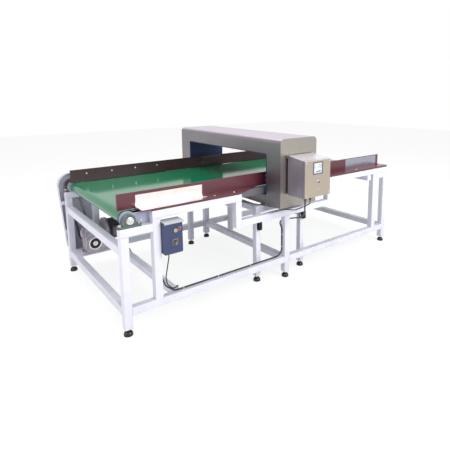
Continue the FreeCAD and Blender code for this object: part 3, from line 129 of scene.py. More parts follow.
class Workbook:
    """The nodes of one material, or of the world, written as expressions."""

    def __init__(self, owner: bpy.types.Material | bpy.types.World) -> None:
        """Empties the owner's nodes.

        Args:
            owner: the material or the world that gets the nodes.
        """
        self.owner = owner
        owner.use_nodes = True
        self.tree = owner.node_tree
        self.tree.nodes.clear()

    def node(self, kind: str, settings: dict[str, object], inputs: dict[object, object],
             output: object = 0) -> Signal:
        """Adds a node.

        Args:
            kind: the node's type.
            settings: its own settings, which are set first.
            inputs: values or signals by socket name or number.
            output: the name or number of the output to return.

        Returns:
            That output as a signal.
        """
        made = self.tree.nodes.new(kind)
        for key, value in settings.items():
            setattr(made, key, value)
        for key, value in inputs.items():
            self._feed(made.inputs[key], value)
        return Signal(self, made.outputs[output])

    def _feed(self, socket: bpy.types.NodeSocket, value: object) -> None:
        """Links a signal to a socket, or sets a plain value.

        Args:
            socket: the input socket.
            value: a signal, a number or a colour.
        """
        if isinstance(value, Signal):
            self.tree.links.new(value.socket, socket)
        elif isinstance(value, (tuple, list)) and socket.type == "RGBA" and len(value) == 3:
            socket.default_value = (*value, 1.0)
        else:
            socket.default_value = value

    def place(self, scale: Triple = (1.0, 1.0, 1.0)) -> Signal:
        """The surface's own position in metres, stretched by a scale on each axis."""
        where = self.node("ShaderNodeTexCoord", {}, {}, "Object")
        return self.node("ShaderNodeVectorMath", {"operation": "MULTIPLY"}, {0: where, 1: scale})

    def noise(self, scale: float, detail: float = 3.0, stretch: Triple = (1.0, 1.0, 1.0),
              rough: float = 0.55) -> Signal:
        """Soft noise.

        Args:
            scale: how many patches a metre.
            detail: how many finer layers are added.
            stretch: the scale on each axis, low along the grain.
            rough: how strong the finer layers are.

        Returns:
            Noise between zero and one.
        """
        inputs = {"Vector": self.place(stretch), "Scale": scale, "Detail": detail, "Roughness": rough}
        return self.node("ShaderNodeTexNoise", {}, inputs)

    def axis(self, name: str) -> Signal:
        """The surface's position along one axis, in metres."""
        where = self.node("ShaderNodeTexCoord", {}, {}, "Object")
        return self.node("ShaderNodeSeparateXYZ", {}, {0: where}, name)

    def facing(self, name: str) -> Signal:
        """How far the surface faces along one axis of the machine."""
        normal = self.node("ShaderNodeTexCoord", {}, {}, "Normal")
        return self.node("ShaderNodeSeparateXYZ", {}, {0: normal}, name)

    def blend(self, factor: Signal, first: Signal | Triple, second: Signal | Triple) -> Signal:
        """Mixes two colours."""
        return self.node("ShaderNodeMix", {"data_type": "RGBA"}, {0: factor, 6: first, 7: second}, 2)

    def plainly_seen(self) -> Signal:
        """One for what the camera sees, also in metal and through glass, and zero for light."""
        camera, glossy, clear = (self.node("ShaderNodeLightPath", {}, {}, name)
                                 for name in ("Is Camera Ray", "Is Glossy Ray", "Is Transmission Ray"))
        return (camera + glossy + clear).clamp()

    def bump(self, height: Signal, depth: float, strength: float = 1.0,
             under: Signal | None = None) -> Signal:
        """Turns a height into a bent normal.

        Args:
            height: the height, where one stands for the whole depth.
            depth: the depth in metres.
            strength: how much of it shows.
            under: a coarser bump below this one.

        Returns:
            The normal.
        """
        inputs: dict[object, object] = {"Height": height, "Distance": depth, "Strength": strength}
        if under is not None:
            inputs["Normal"] = under
        return self.node("ShaderNodeBump", {}, inputs)

    def surface(self, inputs: dict[object, object]) -> bpy.types.Material:
        """Finishes the material with one principled shader."""
        shader = self.node("ShaderNodeBsdfPrincipled", {}, inputs)
        self.output(shader)
        return self.owner

    def output(self, shader: Signal, kind: str = "ShaderNodeOutputMaterial") -> None:
        """Links a shader to the output."""
        end = self.tree.nodes.new(kind)
        self.tree.links.new(shader.socket, end.inputs["Surface"])


# ---- Finishes ------------------------------------------------------------------------------


@dataclass(frozen=True)
class Finish:
    """A finish that the machine's pieces are given. Each kind writes its own material."""

    name: str

    def write(self, book: Workbook) -> bpy.types.Material:
        """Writes the material.

        Args:
            book: the workbook of the new material.

        Returns:
            The material.
        """
        raise NotImplementedError

    def material(self) -> bpy.types.Material:
        """The material, made once and shared."""
        known = bpy.data.materials.get(self.name)
        return known if known else self.write(Workbook(bpy.data.materials.new(self.name)))

    def dress(self, piece: bpy.types.Object) -> None:
        """Puts the finish on a piece.

        Args:
            piece: the object to dress.
        """
        piece.data.materials.clear()
        piece.data.materials.append(self.material())


@dataclass(frozen=True)
class FramePaint(Finish):
    """Sprayed paint on welded tube: a fine orange peel, dust low down and faint rubs."""

    colour: Triple = (0.74, 0.77, 0.80)
    soil: Triple = (0.42, 0.41, 0.38)
    gloss: float = 0.34

    def write(self, book: Workbook) -> bpy.types.Material:
        """Writes the paint.

        Args:
            book: the workbook of the new material.

        Returns:
            The material.
        """
        cloud = book.noise(3.0, 4.0)
        rub = book.noise(26.0, 5.0, (1.0, 1.0, 1.0), 0.7).step(0.62, 0.78)
        low = (1.0 - book.axis("Z") * 3.2).clamp()
        dust = (low * book.noise(9.0, 5.0).step(0.35, 0.8) * 0.55 + rub * 0.10).clamp()
        shade = book.blend(cloud * 0.30, self.colour, tuple(0.93 * value for value in self.colour))
        colour = book.blend(dust, shade, self.soil)
        peel = book.noise(420.0, 2.0)
        return book.surface({
            "Base Color": colour, "Roughness": self.gloss + cloud * 0.12 + dust * 0.3,
            "Normal": book.bump(peel, 0.0002, 0.35), "Specular IOR Level": 0.5,
        })


@dataclass(frozen=True)
class BrushedSteel(Finish):
    """Ground stainless sheet: fine lines along the grain, soft clouding and a few handling marks."""

    colour: Triple = (0.29, 0.27, 0.295)
    grain: Triple = (1.0, 1.0, 1.0)
    rough: float = 0.27
    tint: Triple = (0.24, 0.225, 0.235)
    # end: painted light, the warmer and lighter colour of faces turned to the operator, where the lamp falls
    end: Triple = (0.42, 0.39, 0.335)
    # roof: painted reflection, the bright colour of faces turned up, standing in for the sky they mirror
    roof: Triple = (0.62, 0.56, 0.65)

    def write(self, book: Workbook) -> bpy.types.Material:
        """Writes the steel with painted light: painted warmer and lighter on faces turned to the operator,
        where the lamp falls, and painted brightest on the roof, a painted reflection of the bright sky.

        Args:
            book: the workbook of the new material.

        Returns:
            The material.
        """
        lines = book.noise(520.0, 3.0, self.grain, 0.7)
        broad = book.noise(60.0, 2.0, self.grain, 0.6)
        cloud = book.noise(5.0, 4.0)
        mark = book.noise(16.0, 6.0, (1.0, 1.0, 1.0), 0.75).step(0.60, 0.74)
        colour = book.blend((cloud * 0.8 + broad * 0.35).clamp(), self.colour, self.tint)
        # Painted light: faces turned to the operator get the warm, lighter end colour, and faces turned up
        # get the roof colour as a painted sky reflection.
        near = (book.facing("Y") * -1.0).step(0.45, 0.92)
        colour = book.blend(near * (0.55 + cloud * 0.45), colour, self.end)
        colour = book.blend(book.facing("Z").step(0.35, 0.92), colour, self.roof)
        colour = book.blend(lines * 0.22, colour, tuple(0.62 * value for value in self.colour))
        return book.surface({
            "Base Color": colour, "Metallic": 1.0,
            "Roughness": (self.rough + lines * 0.13 + cloud * 0.10 + mark * 0.12).clamp(),
            "Normal": book.bump(lines, 0.00006, 0.5, book.bump(cloud, 0.0035, 0.22)),
        })


@dataclass(frozen=True)
class PolishedPlate(Finish):
    """A bright bent plate whose film leaves faint bands of colour."""

    colour: Triple = (0.90, 0.83, 0.86)
    warm: Triple = (0.86, 0.74, 0.50)
    cool: Triple = (0.86, 0.62, 0.70)
    # painted shade: the darker colour that the outfeed plate is painted
    outfeed_painted_shade: Triple = (0.34, 0.34, 0.42)

    def write(self, book: Workbook) -> bpy.types.Material:
        """Writes the plate, with painted shade on the outfeed plate.

        Args:
            book: the workbook of the new material.

        Returns:
            The material.
        """
        bands = book.noise(7.0, 3.0, (1.0, 1.0, 1.8), 0.5)
        lines = book.noise(420.0, 2.0, (0.02, 1.0, 1.0), 0.6)
        colour = book.blend(bands.step(0.45, 0.68) * 0.55, self.colour, self.warm)
        colour = book.blend((1.0 - bands).step(0.52, 0.70) * 0.6, colour, self.cool)
        # Painted shade: plates on the outfeed side are painted darker.
        colour = book.blend(book.axis("X").step(0.0, 0.5) * (0.75 + lines * 0.25), colour, self.outfeed_painted_shade)
        return book.surface({
            "Base Color": colour, "Metallic": 1.0, "Roughness": 0.13 + lines * 0.12 + bands * 0.12,
            "Normal": book.bump(book.noise(6.0, 3.0), 0.006, 0.35),
        })


@dataclass(frozen=True)
class BeltCover(Finish):
    """The belt's green cover: a fine fabric print, scuffed lanes and a darker, frayed edge."""

    colour: Triple = (0.003, 0.170, 0.068)
    worn: Triple = (0.007, 0.205, 0.092)
    centre: float = 0.0955
    half_width: float = 0.515
    threads: float = 130.0

    def write(self, book: Workbook) -> bpy.types.Material:
        """Writes the belt's cover.

        Args:
            book: the workbook of the new material.

        Returns:
            The material.
        """
        lanes = book.noise(9.0, 4.0, (0.05, 1.0, 1.0), 0.6)
        scuff = book.noise(38.0, 5.0, (0.25, 1.0, 1.0), 0.75).step(0.58, 0.8)
        rim = abs(book.axis("Y") - self.centre).step(self.half_width - 0.012, self.half_width - 0.002)
        colour = book.blend((lanes.step(0.35, 0.7) * 0.45 + scuff * 0.22).clamp(), self.colour, self.worn)
        colour = book.blend(rim * 0.5, colour, (0.004, 0.13, 0.06))
        weave = self._weave(book)
        return book.surface({
            "Base Color": colour, "Roughness": (0.075 + lanes * 0.05 + scuff * 0.08).clamp(),
            "Normal": book.bump(weave, 0.00006, 0.30, book.bump(lanes, 0.0008, 0.15)),
            "Specular IOR Level": 0.5,
        })

    def _weave(self, book: Workbook) -> Signal:
        """The fabric's crossing threads.

        Args:
            book: the workbook of the belt's material.

        Returns:
            Their height.
        """
        along, over = (
            book.node("ShaderNodeTexWave", {"wave_type": "BANDS", "bands_direction": direction},
                      {"Vector": book.place(), "Scale": self.threads, "Distortion": 0.4}, 1)
            for direction in ("X", "Y"))
        return along * over


@dataclass(frozen=True)
class GuardLacquer(Finish):
    """Deep maroon lacquer with a clear gloss and flecks of pale dust."""

    colour: Triple = (0.098, 0.016, 0.026)
    light: Triple = (0.130, 0.028, 0.038)
    coat: float = 0.35

    def write(self, book: Workbook) -> bpy.types.Material:
        """Writes the lacquer.

        Args:
            book: the workbook of the new material.

        Returns:
            The material.
        """
        cloud = book.noise(4.0, 4.0)
        streak = book.noise(30.0, 4.0, (0.15, 1.0, 1.0), 0.65)
        dust = book.noise(70.0, 6.0, (1.0, 1.0, 1.0), 0.8).step(0.60, 0.82)
        colour = book.blend(cloud * 0.6, self.colour, self.light)
        colour = book.blend(dust * 0.16, colour, (0.36, 0.30, 0.28))
        return book.surface({
            "Base Color": colour, "Roughness": (0.30 + streak * 0.12 + dust * 0.22).clamp(),
            "Coat Weight": (self.coat - dust * 0.2).clamp(), "Coat Roughness": 0.08,
            "Normal": book.bump(book.noise(260.0, 2.0), 0.0002, 0.3, book.bump(cloud, 0.003, 0.2)),
        })


@dataclass(frozen=True)
class TurnedSteel(Finish):
    """Turned or drawn steel with a bright worn face."""

    colour: Triple = (0.55, 0.545, 0.53)
    dark: Triple = (0.30, 0.29, 0.27)
    rough: float = 0.28

    def write(self, book: Workbook) -> bpy.types.Material:
        """Writes the steel.

        Args:
            book: the workbook of the new material.

        Returns:
            The material.
        """
        rings = book.noise(300.0, 3.0, (0.15, 1.0, 0.15), 0.6)
        stain = book.noise(24.0, 5.0, (1.0, 1.0, 1.0), 0.7).step(0.52, 0.78)
        colour = book.blend(stain * 0.5, self.colour, self.dark)
        return book.surface({
            "Base Color": colour, "Metallic": 1.0,
            "Roughness": (self.rough + rings * 0.16 + stain * 0.2).clamp(),
            "Normal": book.bump(rings, 0.0001, 0.5),
        })


@dataclass(frozen=True)
class OiledSteel(Finish):
    """Dark chain steel with oil in its corners and bright rubbed faces."""

    colour: Triple = (0.16, 0.15, 0.14)
    bright: Triple = (0.46, 0.44, 0.41)

    def write(self, book: Workbook) -> bpy.types.Material:
        """Writes the steel.

        Args:
            book: the workbook of the new material.

        Returns:
            The material.
        """
        rubbed = book.noise(220.0, 5.0, (1.0, 1.0, 1.0), 0.7).step(0.46, 0.7)
        oil = book.noise(60.0, 4.0)
        return book.surface({
            "Base Color": book.blend(rubbed * 0.7, self.colour, self.bright), "Metallic": 0.9,
            "Roughness": (0.24 + oil * 0.35).clamp(), "Normal": book.bump(oil, 0.0006, 0.4),
        })


@dataclass(frozen=True)
class CastMetal(Finish):
    """A sand or die casting: a pebbled skin under thin paint, darker in its hollows."""

    colour: Triple = (0.30, 0.30, 0.32)
    dark: Triple = (0.12, 0.12, 0.13)
    metal: float = 0.55
    grit: float = 320.0

    def write(self, book: Workbook) -> bpy.types.Material:
        """Writes the casting.

        Args:
            book: the workbook of the new material.

        Returns:
            The material.
        """
        skin = book.noise(self.grit, 4.0, (1.0, 1.0, 1.0), 0.7)
        soil = book.noise(22.0, 5.0, (1.0, 1.0, 1.0), 0.65).step(0.42, 0.72)
        colour = book.blend(soil * 0.65, self.colour, self.dark)
        colour = book.blend(skin * 0.18, colour, tuple(0.6 * value for value in self.colour))
        return book.surface({
            "Base Color": colour, "Metallic": self.metal,
            "Roughness": (0.38 + soil * 0.25 + skin * 0.1).clamp(),
            "Normal": book.bump(skin, 0.0007, 0.6),
        })


@dataclass(frozen=True)
class MouldedPlastic(Finish):
    """Moulded plastic or rubber with a fine spark texture and pale handling scuffs."""

    colour: Triple = (0.03, 0.03, 0.032)
    scuff: Triple = (0.2, 0.2, 0.2)
    gloss: float = 0.42
    wear: float = 0.25
    grit: float = 900.0

    def write(self, book: Workbook) -> bpy.types.Material:
        """Writes the plastic.

        Args:
            book: the workbook of the new material.

        Returns:
            The material.
        """
        grain = book.noise(self.grit, 2.0)
        cloud = book.noise(18.0, 3.0)
        mark = book.noise(85.0, 6.0, (1.0, 1.0, 1.0), 0.75).step(0.58, 0.8)
        colour = book.blend(cloud * 0.5, self.colour, tuple(0.78 * value for value in self.colour))
        colour = book.blend(mark * self.wear, colour, self.scuff)
        return book.surface({
            "Base Color": colour, "Roughness": (self.gloss + cloud * 0.1 + mark * 0.14).clamp(),
            "Normal": book.bump(grain, 0.00015, 0.5), "Specular IOR Level": 0.5,
        })


@dataclass(frozen=True)
class WoundCopper(Finish):
    """A coil of enamelled wire bound with tape."""

    colour: Triple = (0.46, 0.17, 0.06)

    def write(self, book: Workbook) -> bpy.types.Material:
        """Writes the winding.

        Args:
            book: the workbook of the new material.

        Returns:
            The material.
        """
        turns = book.noise(900.0, 2.0, (1.0, 0.03, 0.03), 0.5)
        return book.surface({
            "Base Color": book.blend(turns, self.colour, (0.62, 0.30, 0.12)), "Metallic": 0.8,
            "Roughness": 0.28 + turns * 0.2, "Normal": book.bump(turns, 0.0005, 0.7),
        })


@dataclass(frozen=True)
class GlowingPane(Finish):
    """A lit or tinted pane behind a clear face."""

    colour: Triple = (0.42, 0.50, 0.58)
    edge: Triple = (0.30, 0.37, 0.45)
    glow: float = 0.0

    def write(self, book: Workbook) -> bpy.types.Material:
        """Writes the pane.

        Args:
            book: the workbook of the new material.

        Returns:
            The material.
        """
        haze = book.noise(30.0, 3.0)
        colour = book.blend(haze, self.colour, self.edge)
        return book.surface({
            "Base Color": colour, "Roughness": 0.10 + haze * 0.08, "Coat Weight": 0.6, "Coat Roughness": 0.03,
            "Emission Color": colour, "Emission Strength": self.glow,
        })


class Grain(Enum):
    """Which way a sheet was ground."""

    ALONG_BELT = (0.015, 1.0, 1.0)
    ACROSS_BELT = (1.0, 0.015, 1.0)
    UPRIGHT = (1.0, 1.0, 0.015)


FRAME = FramePaint("frame paint", (0.78, 0.78, 0.875), (0.44, 0.43, 0.45))
# Painted shade: the side plates are painted the dark blue-grey that they show in shade.
SIDE_PLATE_PAINTED_SHADE = FramePaint("side plate paint in painted shade", (0.40, 0.42, 0.54), (0.28, 0.27, 0.32), 0.40)
GUARD_PAINT = FramePaint("chain guard paint", (0.66, 0.67, 0.75), (0.38, 0.37, 0.40), 0.38)
# The head, box and bed steels all carry painted light: a warmer, lighter face towards the operator and a
# bright painted reflection on top.
HEAD_STEEL = BrushedSteel("head stainless", grain=Grain.ACROSS_BELT.value)
# The box's last two colours are painted light: a warm lit front and a near-white painted reflection on its
# roof.
BOX_STEEL = BrushedSteel("control box stainless", (0.42, 0.39, 0.45), Grain.UPRIGHT.value, 0.28,
                         (0.34, 0.31, 0.36), (0.54, 0.46, 0.335), (0.88, 0.86, 0.90))
BED_STEEL = BrushedSteel("bed sheet", (0.30, 0.30, 0.32), Grain.ALONG_BELT.value, 0.34)
HOOD_STEEL = FramePaint("hood paint", (0.50, 0.53, 0.55), (0.30, 0.30, 0.29), 0.36)
DRUM_STEEL = TurnedSteel("drum steel")
SHAFT_STEEL = TurnedSteel("shaft steel", (0.68, 0.67, 0.65), (0.42, 0.40, 0.37), 0.20)
ZINC = TurnedSteel("zinc plated steel", (0.62, 0.60, 0.55), (0.38, 0.35, 0.30), 0.30)
CHAIN = OiledSteel("chain steel")
BEARING_CAST = CastMetal("painted bearing casting", (0.125, 0.165, 0.15), (0.05, 0.065, 0.06), 0.25)
GEAR_CAST = CastMetal("gearbox casting", (0.47, 0.43, 0.50), (0.20, 0.18, 0.22), 0.5)
MOTOR_CAST = CastMetal("motor paint", (0.18, 0.15, 0.195), (0.07, 0.06, 0.08), 0.3, 260.0)
BRIGHT = TurnedSteel("bright steel", (0.80, 0.79, 0.80), (0.52, 0.50, 0.50), 0.16)
FOOT = MouldedPlastic("foot plastic", (0.010, 0.010, 0.011), (0.10, 0.10, 0.10), 0.20, 0.15, 500.0)
KNOB = MouldedPlastic("knob plastic", (0.12, 0.118, 0.10), (0.30, 0.30, 0.27), 0.36, 0.2)
INK = MouldedPlastic("display ink", (0.030, 0.050, 0.130), (0.10, 0.12, 0.20), 0.30, 0.1)
PALE_INK = MouldedPlastic("pale ink", (0.70, 0.70, 0.62), (0.50, 0.50, 0.46), 0.40, 0.15)
BELT = BeltCover("belt cover")
GUARD = GuardLacquer("guard lacquer")
# Painted shade: the far guards are the same maroon lacquer, painted much darker for the shade they stand in.
GUARD_PAINTED_SHADE = GuardLacquer("far guard lacquer in painted shade", (0.028, 0.008, 0.012), (0.046, 0.014, 0.020), 0.15)
COVER_PLATE = PolishedPlate("bright cover plate")
LINER = MouldedPlastic("blue liner", (0.022, 0.040, 0.140), (0.12, 0.15, 0.30), 0.36, 0.2)
BOARD = MouldedPlastic("pale bed board", (0.16, 0.16, 0.175), (0.26, 0.26, 0.27), 0.45, 0.3)
RUBBER = MouldedPlastic("black rubber", (0.022, 0.022, 0.023), (0.11, 0.11, 0.11), 0.62, 0.3, 500.0)
BLACK_PLASTIC = MouldedPlastic("black plastic", (0.018, 0.018, 0.020), (0.14, 0.14, 0.14), 0.40, 0.2)
CABLE_JACKET = MouldedPlastic("cable jacket", (0.016, 0.016, 0.017), (0.10, 0.10, 0.10), 0.45, 0.25, 700.0)
SWITCH_BLUE = MouldedPlastic("switch box blue", (0.042, 0.056, 0.135), (0.14, 0.17, 0.25), 0.34, 0.2)
TRIM_GREY = MouldedPlastic("trim grey", (0.10, 0.115, 0.165), (0.30, 0.31, 0.35), 0.34, 0.2)
GREEN_CAP = MouldedPlastic("green cap", (0.34, 0.40, 0.20), (0.5, 0.55, 0.4), 0.28, 0.15)
RED_CAP = MouldedPlastic("red cap", (0.42, 0.010, 0.012), (0.5, 0.2, 0.2), 0.28, 0.15)
GREY_CAP = MouldedPlastic("grey cap", (0.13, 0.13, 0.14), (0.35, 0.35, 0.35), 0.32, 0.15)
BOARD_GREEN = MouldedPlastic("circuit board", (0.010, 0.110, 0.045), (0.2, 0.3, 0.2), 0.3, 0.1)
TIE_WHITE = MouldedPlastic("white tie", (0.68, 0.68, 0.64), (0.5, 0.5, 0.48), 0.45, 0.2)
COPPER = WoundCopper("coil winding")
SCREEN = GlowingPane("display pane", (0.74, 0.77, 0.84), (0.64, 0.69, 0.79), 0.20)
LAMP_RED = GlowingPane("red lamp", (0.62, 0.070, 0.012), (0.34, 0.030, 0.008), 0.35)

FINISHED_WITH: dict[Finish, tuple[str, ...]] = {
    FRAME: ("frame_near", "frame_far", "cross_rails", "detector_stand", "motor_plate"),
    RUBBER: ("foot_pads", "head_pads", "gearbox_seals"),
    ZINC: ("foot_stems", "box_brackets", "fasteners"),
    BELT: ("belt",),
    DRUM_STEEL: ("drive_drum", "infeed_return_roller", "outfeed_return_roller", "tail_drum"),
    SHAFT_STEEL: ("drive_shaft", "roller_axles", "output_shaft"),
    CHAIN: ("drive_sprocket", "drive_chain", "output_sprocket"),
    BEARING_CAST: ("pillow_blocks", "takeup_blocks"),
    SIDE_PLATE_PAINTED_SHADE: ("drive_side_plates", "tail_side_plates"),
    BED_STEEL: ("steel_beds",),
    BOARD: ("middle_bed",),
    GUARD: ("infeed_guard_near", "outfeed_guard_near", "guard_packers"),
    # The far guards take the copy of the lacquer that is painted darker as painted shade.
    GUARD_PAINTED_SHADE: ("infeed_guard_far", "outfeed_guard_far"),
    COVER_PLATE: ("guard_cover_plates",),
    HEAD_STEEL: ("head_shell",),
    LINER: ("aperture_liner",),
    COPPER: ("search_coils",),
    BOX_STEEL: ("control_box", "control_cover"),
    SCREEN: ("display",),
    GREY_CAP: ("panel_button",),
    LAMP_RED: ("panel_lamp",),
    BOARD_GREEN: ("circuit_board",),
    GUARD_PAINT: ("chain_guard",),
    GEAR_CAST: ("gearbox_housing",),
    MOTOR_CAST: ("motor_body", "motor_covers"),
    SWITCH_BLUE: ("switch_box",),
    TRIM_GREY: ("switch_trim",),
    GREEN_CAP: ("start_button",),
    RED_CAP: ("stop_button",),
    KNOB: ("speed_knob",),
    HOOD_STEEL: ("switch_hood",),
    BLACK_PLASTIC: ("cable_couplers", "cable_glands"),
    CABLE_JACKET: ("supply_cables", "signal_lead", "motor_lead"),
    TIE_WHITE: ("cable_ties",),
}


# ---- Mesh work -----------------------------------------------------------------------------


CAD_NODES: dict[str, bpy.types.Object] = {}


def loose_boxes(node: str) -> list[Box]:
    """The lowest and highest corners of each separate solid of a node.

    Args:
        node: the node's name.

    Returns:
        One pair of corners for each solid.
    """
    form = bmesh.new()
    form.from_mesh(CAD_NODES[node].data)
    bmesh.ops.remove_doubles(form, verts=form.verts, dist=1e-5)
    known: set[bmesh.types.BMVert] = set()
    boxes = []
    for start in form.verts:
        if start in known:
            continue
        known.add(start)
        group, waiting = [], [start]
        while waiting:
            here = waiting.pop()
            group.append(here.co)
            beside = [edge.other_vert(here) for edge in here.link_edges]
            fresh = [vertex for vertex in beside if vertex not in known]
            known.update(fresh)
            waiting.extend(fresh)
        boxes.append((Vector(min(p[i] for p in group) for i in range(3)),
                      Vector(max(p[i] for p in group) for i in range(3))))
    form.free()
    return boxes


def front_face(node: str, x: float, z: float, radius: float, side: int) -> float:
    """How far a node reaches along Y near an axis that runs along Y.

    Args:
        node: the node.
        x: the axis's place along the belt.
        z: its height.
        radius: how near to the axis a point has to be.
        side: -1 for the operator's side, 1 for the far side.

    Returns:
        The outermost Y on that side.
    """
    points = [vertex.co for vertex in CAD_NODES[node].data.vertices]
    reach = [p.y for p in points if math.hypot(p.x - x, p.z - z) < radius and p.y * side > 0]
    return max(reach) if side > 0 else min(reach)


@dataclass
class Workpiece:
    """A mesh in the making, with the finish and the body that it gets."""

    name: str
    finish: Finish
    slot: str
    body: str = "machine"
    form: bmesh.types.BMesh = field(default_factory=bmesh.new)

    def block(self, low: Sequence[float], high: Sequence[float], edge: float = 0.0005) -> None:
        """Adds a block with broken edges.

        Args:
            low: its lowest corner.
            high: its highest corner.
            edge: how far each edge is broken.
        """
        corners_made = bmesh.ops.create_cube(self.form, size=1.0)["verts"]
        for corner in corners_made:
            corner.co = Vector(low[i] + (corner.co[i] + 0.5) * (high[i] - low[i]) for i in range(3))
        edges = list(dict.fromkeys(line for corner in corners_made for line in corner.link_edges))
        bmesh.ops.bevel(self.form, geom=edges, offset=edge, segments=2, profile=0.6, affect="EDGES")

    def turned(self, profile: Sequence[tuple[float, float]], centre: Vector, axis: Vector, ring: bool = False,
               steps: int = 36) -> None:
        """Adds a turned form.

        Args:
            profile: radius and height of each point, from the foot up.
            centre: where the height is zero.
            axis: the direction of height.
            ring: whether the profile closes on itself round a hole.
            steps: how many sides stand for the round.
        """
        across = axis.orthogonal().normalized()
        over = axis.cross(across).normalized()
        rings = [self.circle(centre + axis * height, across, over, radius, steps)
                 for radius, height in profile]
        self.skin(rings, ring)

    def swept(self, points: Sequence[Vector], radii: Sequence[float], sides: int = 8) -> None:
        """Adds a bar along a path.

        Args:
            points: the path.
            radii: the bar's radius at each point.
            sides: how many sides stand for the round.
        """
        across = (points[1] - points[0]).orthogonal().normalized()
        rings = []
        for index, (point, radius) in enumerate(zip(points, radii)):
            ahead = (points[min(index + 1, len(points) - 1)] - points[max(index - 1, 0)]).normalized()
            across = (across - ahead * across.dot(ahead)).normalized()
            rings.append(self.circle(point, across, ahead.cross(across), radius, sides))
        self.skin(rings, False)

    def circle(self, centre: Vector, across: Vector, over: Vector, radius: float,
               steps: int) -> list[bmesh.types.BMVert]:
        """A ring of points round a centre, in the plane of two directions."""
        turns = [2.0 * math.pi * step / steps for step in range(steps)]
        return [self.form.verts.new(centre + (across * math.cos(turn) + over * math.sin(turn)) * radius)
                for turn in turns]

    def skin(self, rings: list[list[bmesh.types.BMVert]], ring: bool) -> None:
        """Joins rings of points into a surface.

        Args:
            rings: the rings in order.
            ring: whether the last one joins the first; if not, both ends are closed.
        """
        pairs = list(zip(rings, rings[1:])) + ([(rings[-1], rings[0])] if ring else [])
        for lower, upper in pairs:
            for step in range(len(lower)):
                after = (step + 1) % len(lower)
                self.form.faces.new((lower[step], lower[after], upper[after], upper[step]))
        if not ring:
            self.form.faces.new(rings[0])
            self.form.faces.new(rings[-1])

    def outline(self, points: Sequence[Vector], depth: Vector) -> None:
        """Adds a flat outline with a thickness."""
        self.skin([[self.form.verts.new(point + offset) for point in points]
                   for offset in (Vector(), depth)], False)

    def surround(self, low: Vector, high: Vector, width: float, depths: tuple[float, float],
                 edge: float) -> None:
        """Adds four bars round a rectangle that faces the operator.

        Args:
            low: the rectangle's lower left corner.
            high: its upper right corner.
            width: how wide the bars are, inward.
            depths: their front and back along Y.
            edge: how far each edge is broken.
        """
        front, back = depths
        for (x0, z0), (x1, z1) in (((low.x, low.z), (high.x, low.z + width)),
                                   ((low.x, high.z - width), (high.x, high.z)),
                                   ((low.x, low.z), (low.x + width, high.z)),
                                   ((high.x - width, low.z), (high.x, high.z))):
            self.block((x0, front, z0), (x1, back, z1), edge)

    def done(self, *stands_for: str) -> None:
        """Turns the mesh into a piece of the machine.

        Args:
            stands_for: CAD nodes that the piece stands for.
        """
        bmesh.ops.recalc_face_normals(self.form, faces=self.form.faces)
        mesh = bpy.data.meshes.new(self.name)
        self.form.to_mesh(mesh)
        self.form.free()
        mesh.shade_smooth()
        mesh.set_sharp_from_angle(angle=math.radians(36.0))
        piece = bpy.data.objects.new(self.name, mesh)
        bpy.context.scene.collection.objects.link(piece)
        self.finish.dress(piece)
        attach(piece, self.body)
        if stands_for:
            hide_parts(*stands_for)
        LOG.info("built %s, %d faces", self.name, len(mesh.polygons))


TOWARDS_OPERATOR = Vector((0.0, -1.0, 0.0))
UP = Vector((0.0, 0.0, 1.0))


# ---- Sub-assemblies ------------------------------------------------------------------------


@dataclass
class Feet:
    """The levelling feet: a domed pad with a rolled rim and grip ribs."""

    radius: float = 0.028
    rim: float = 0.008
    height: float = 0.030
    neck: float = 0.0115
    socket: float = 0.0062
    dome_steps: int = 8
    ribs: int = 12

    def profile(self) -> list[tuple[float, float]]:
        """The pad's outline.

        Returns:
            Radius and height of each point, from its sole to its socket.
        """
        dome = []
        for step in range(self.dome_steps + 1):
            turn = math.pi / 2 * step / self.dome_steps
            out = self.neck + (self.radius - self.neck) * math.cos(turn) ** 1.15
            dome.append((out, self.rim + (self.height - self.rim) * math.sin(turn)))
        sole = [(self.radius - 0.002, 0.0), (self.radius, 0.0015)]
        return sole + dome + [(self.neck - 0.001, self.height), (self.socket, self.height - 0.0005)]

    def build(self) -> None:
        """Builds all the pads as one group."""
        work = Workpiece("foot_domes", FOOT, "foot_plastic")
        for low, high in loose_boxes("foot_pads"):
            centre = Vector(((low.x + high.x) / 2, (low.y + high.y) / 2, 0.0))
            work.turned(self.profile(), centre, UP)
            for rib in range(self.ribs):
                turn = 2.0 * math.pi * rib / self.ribs
                out = Vector((math.cos(turn), math.sin(turn), 0.0))
                start = centre + out * (self.neck + 0.001) + UP * (self.height - 0.0015)
                middle = centre + out * (self.radius * 0.74) + UP * (self.height * 0.70)
                work.swept([start, middle, centre + out * (self.radius - 0.0012) + UP * self.rim],
                           [0.0009, 0.0012, 0.0010], 6)
        work.done("foot_pads")


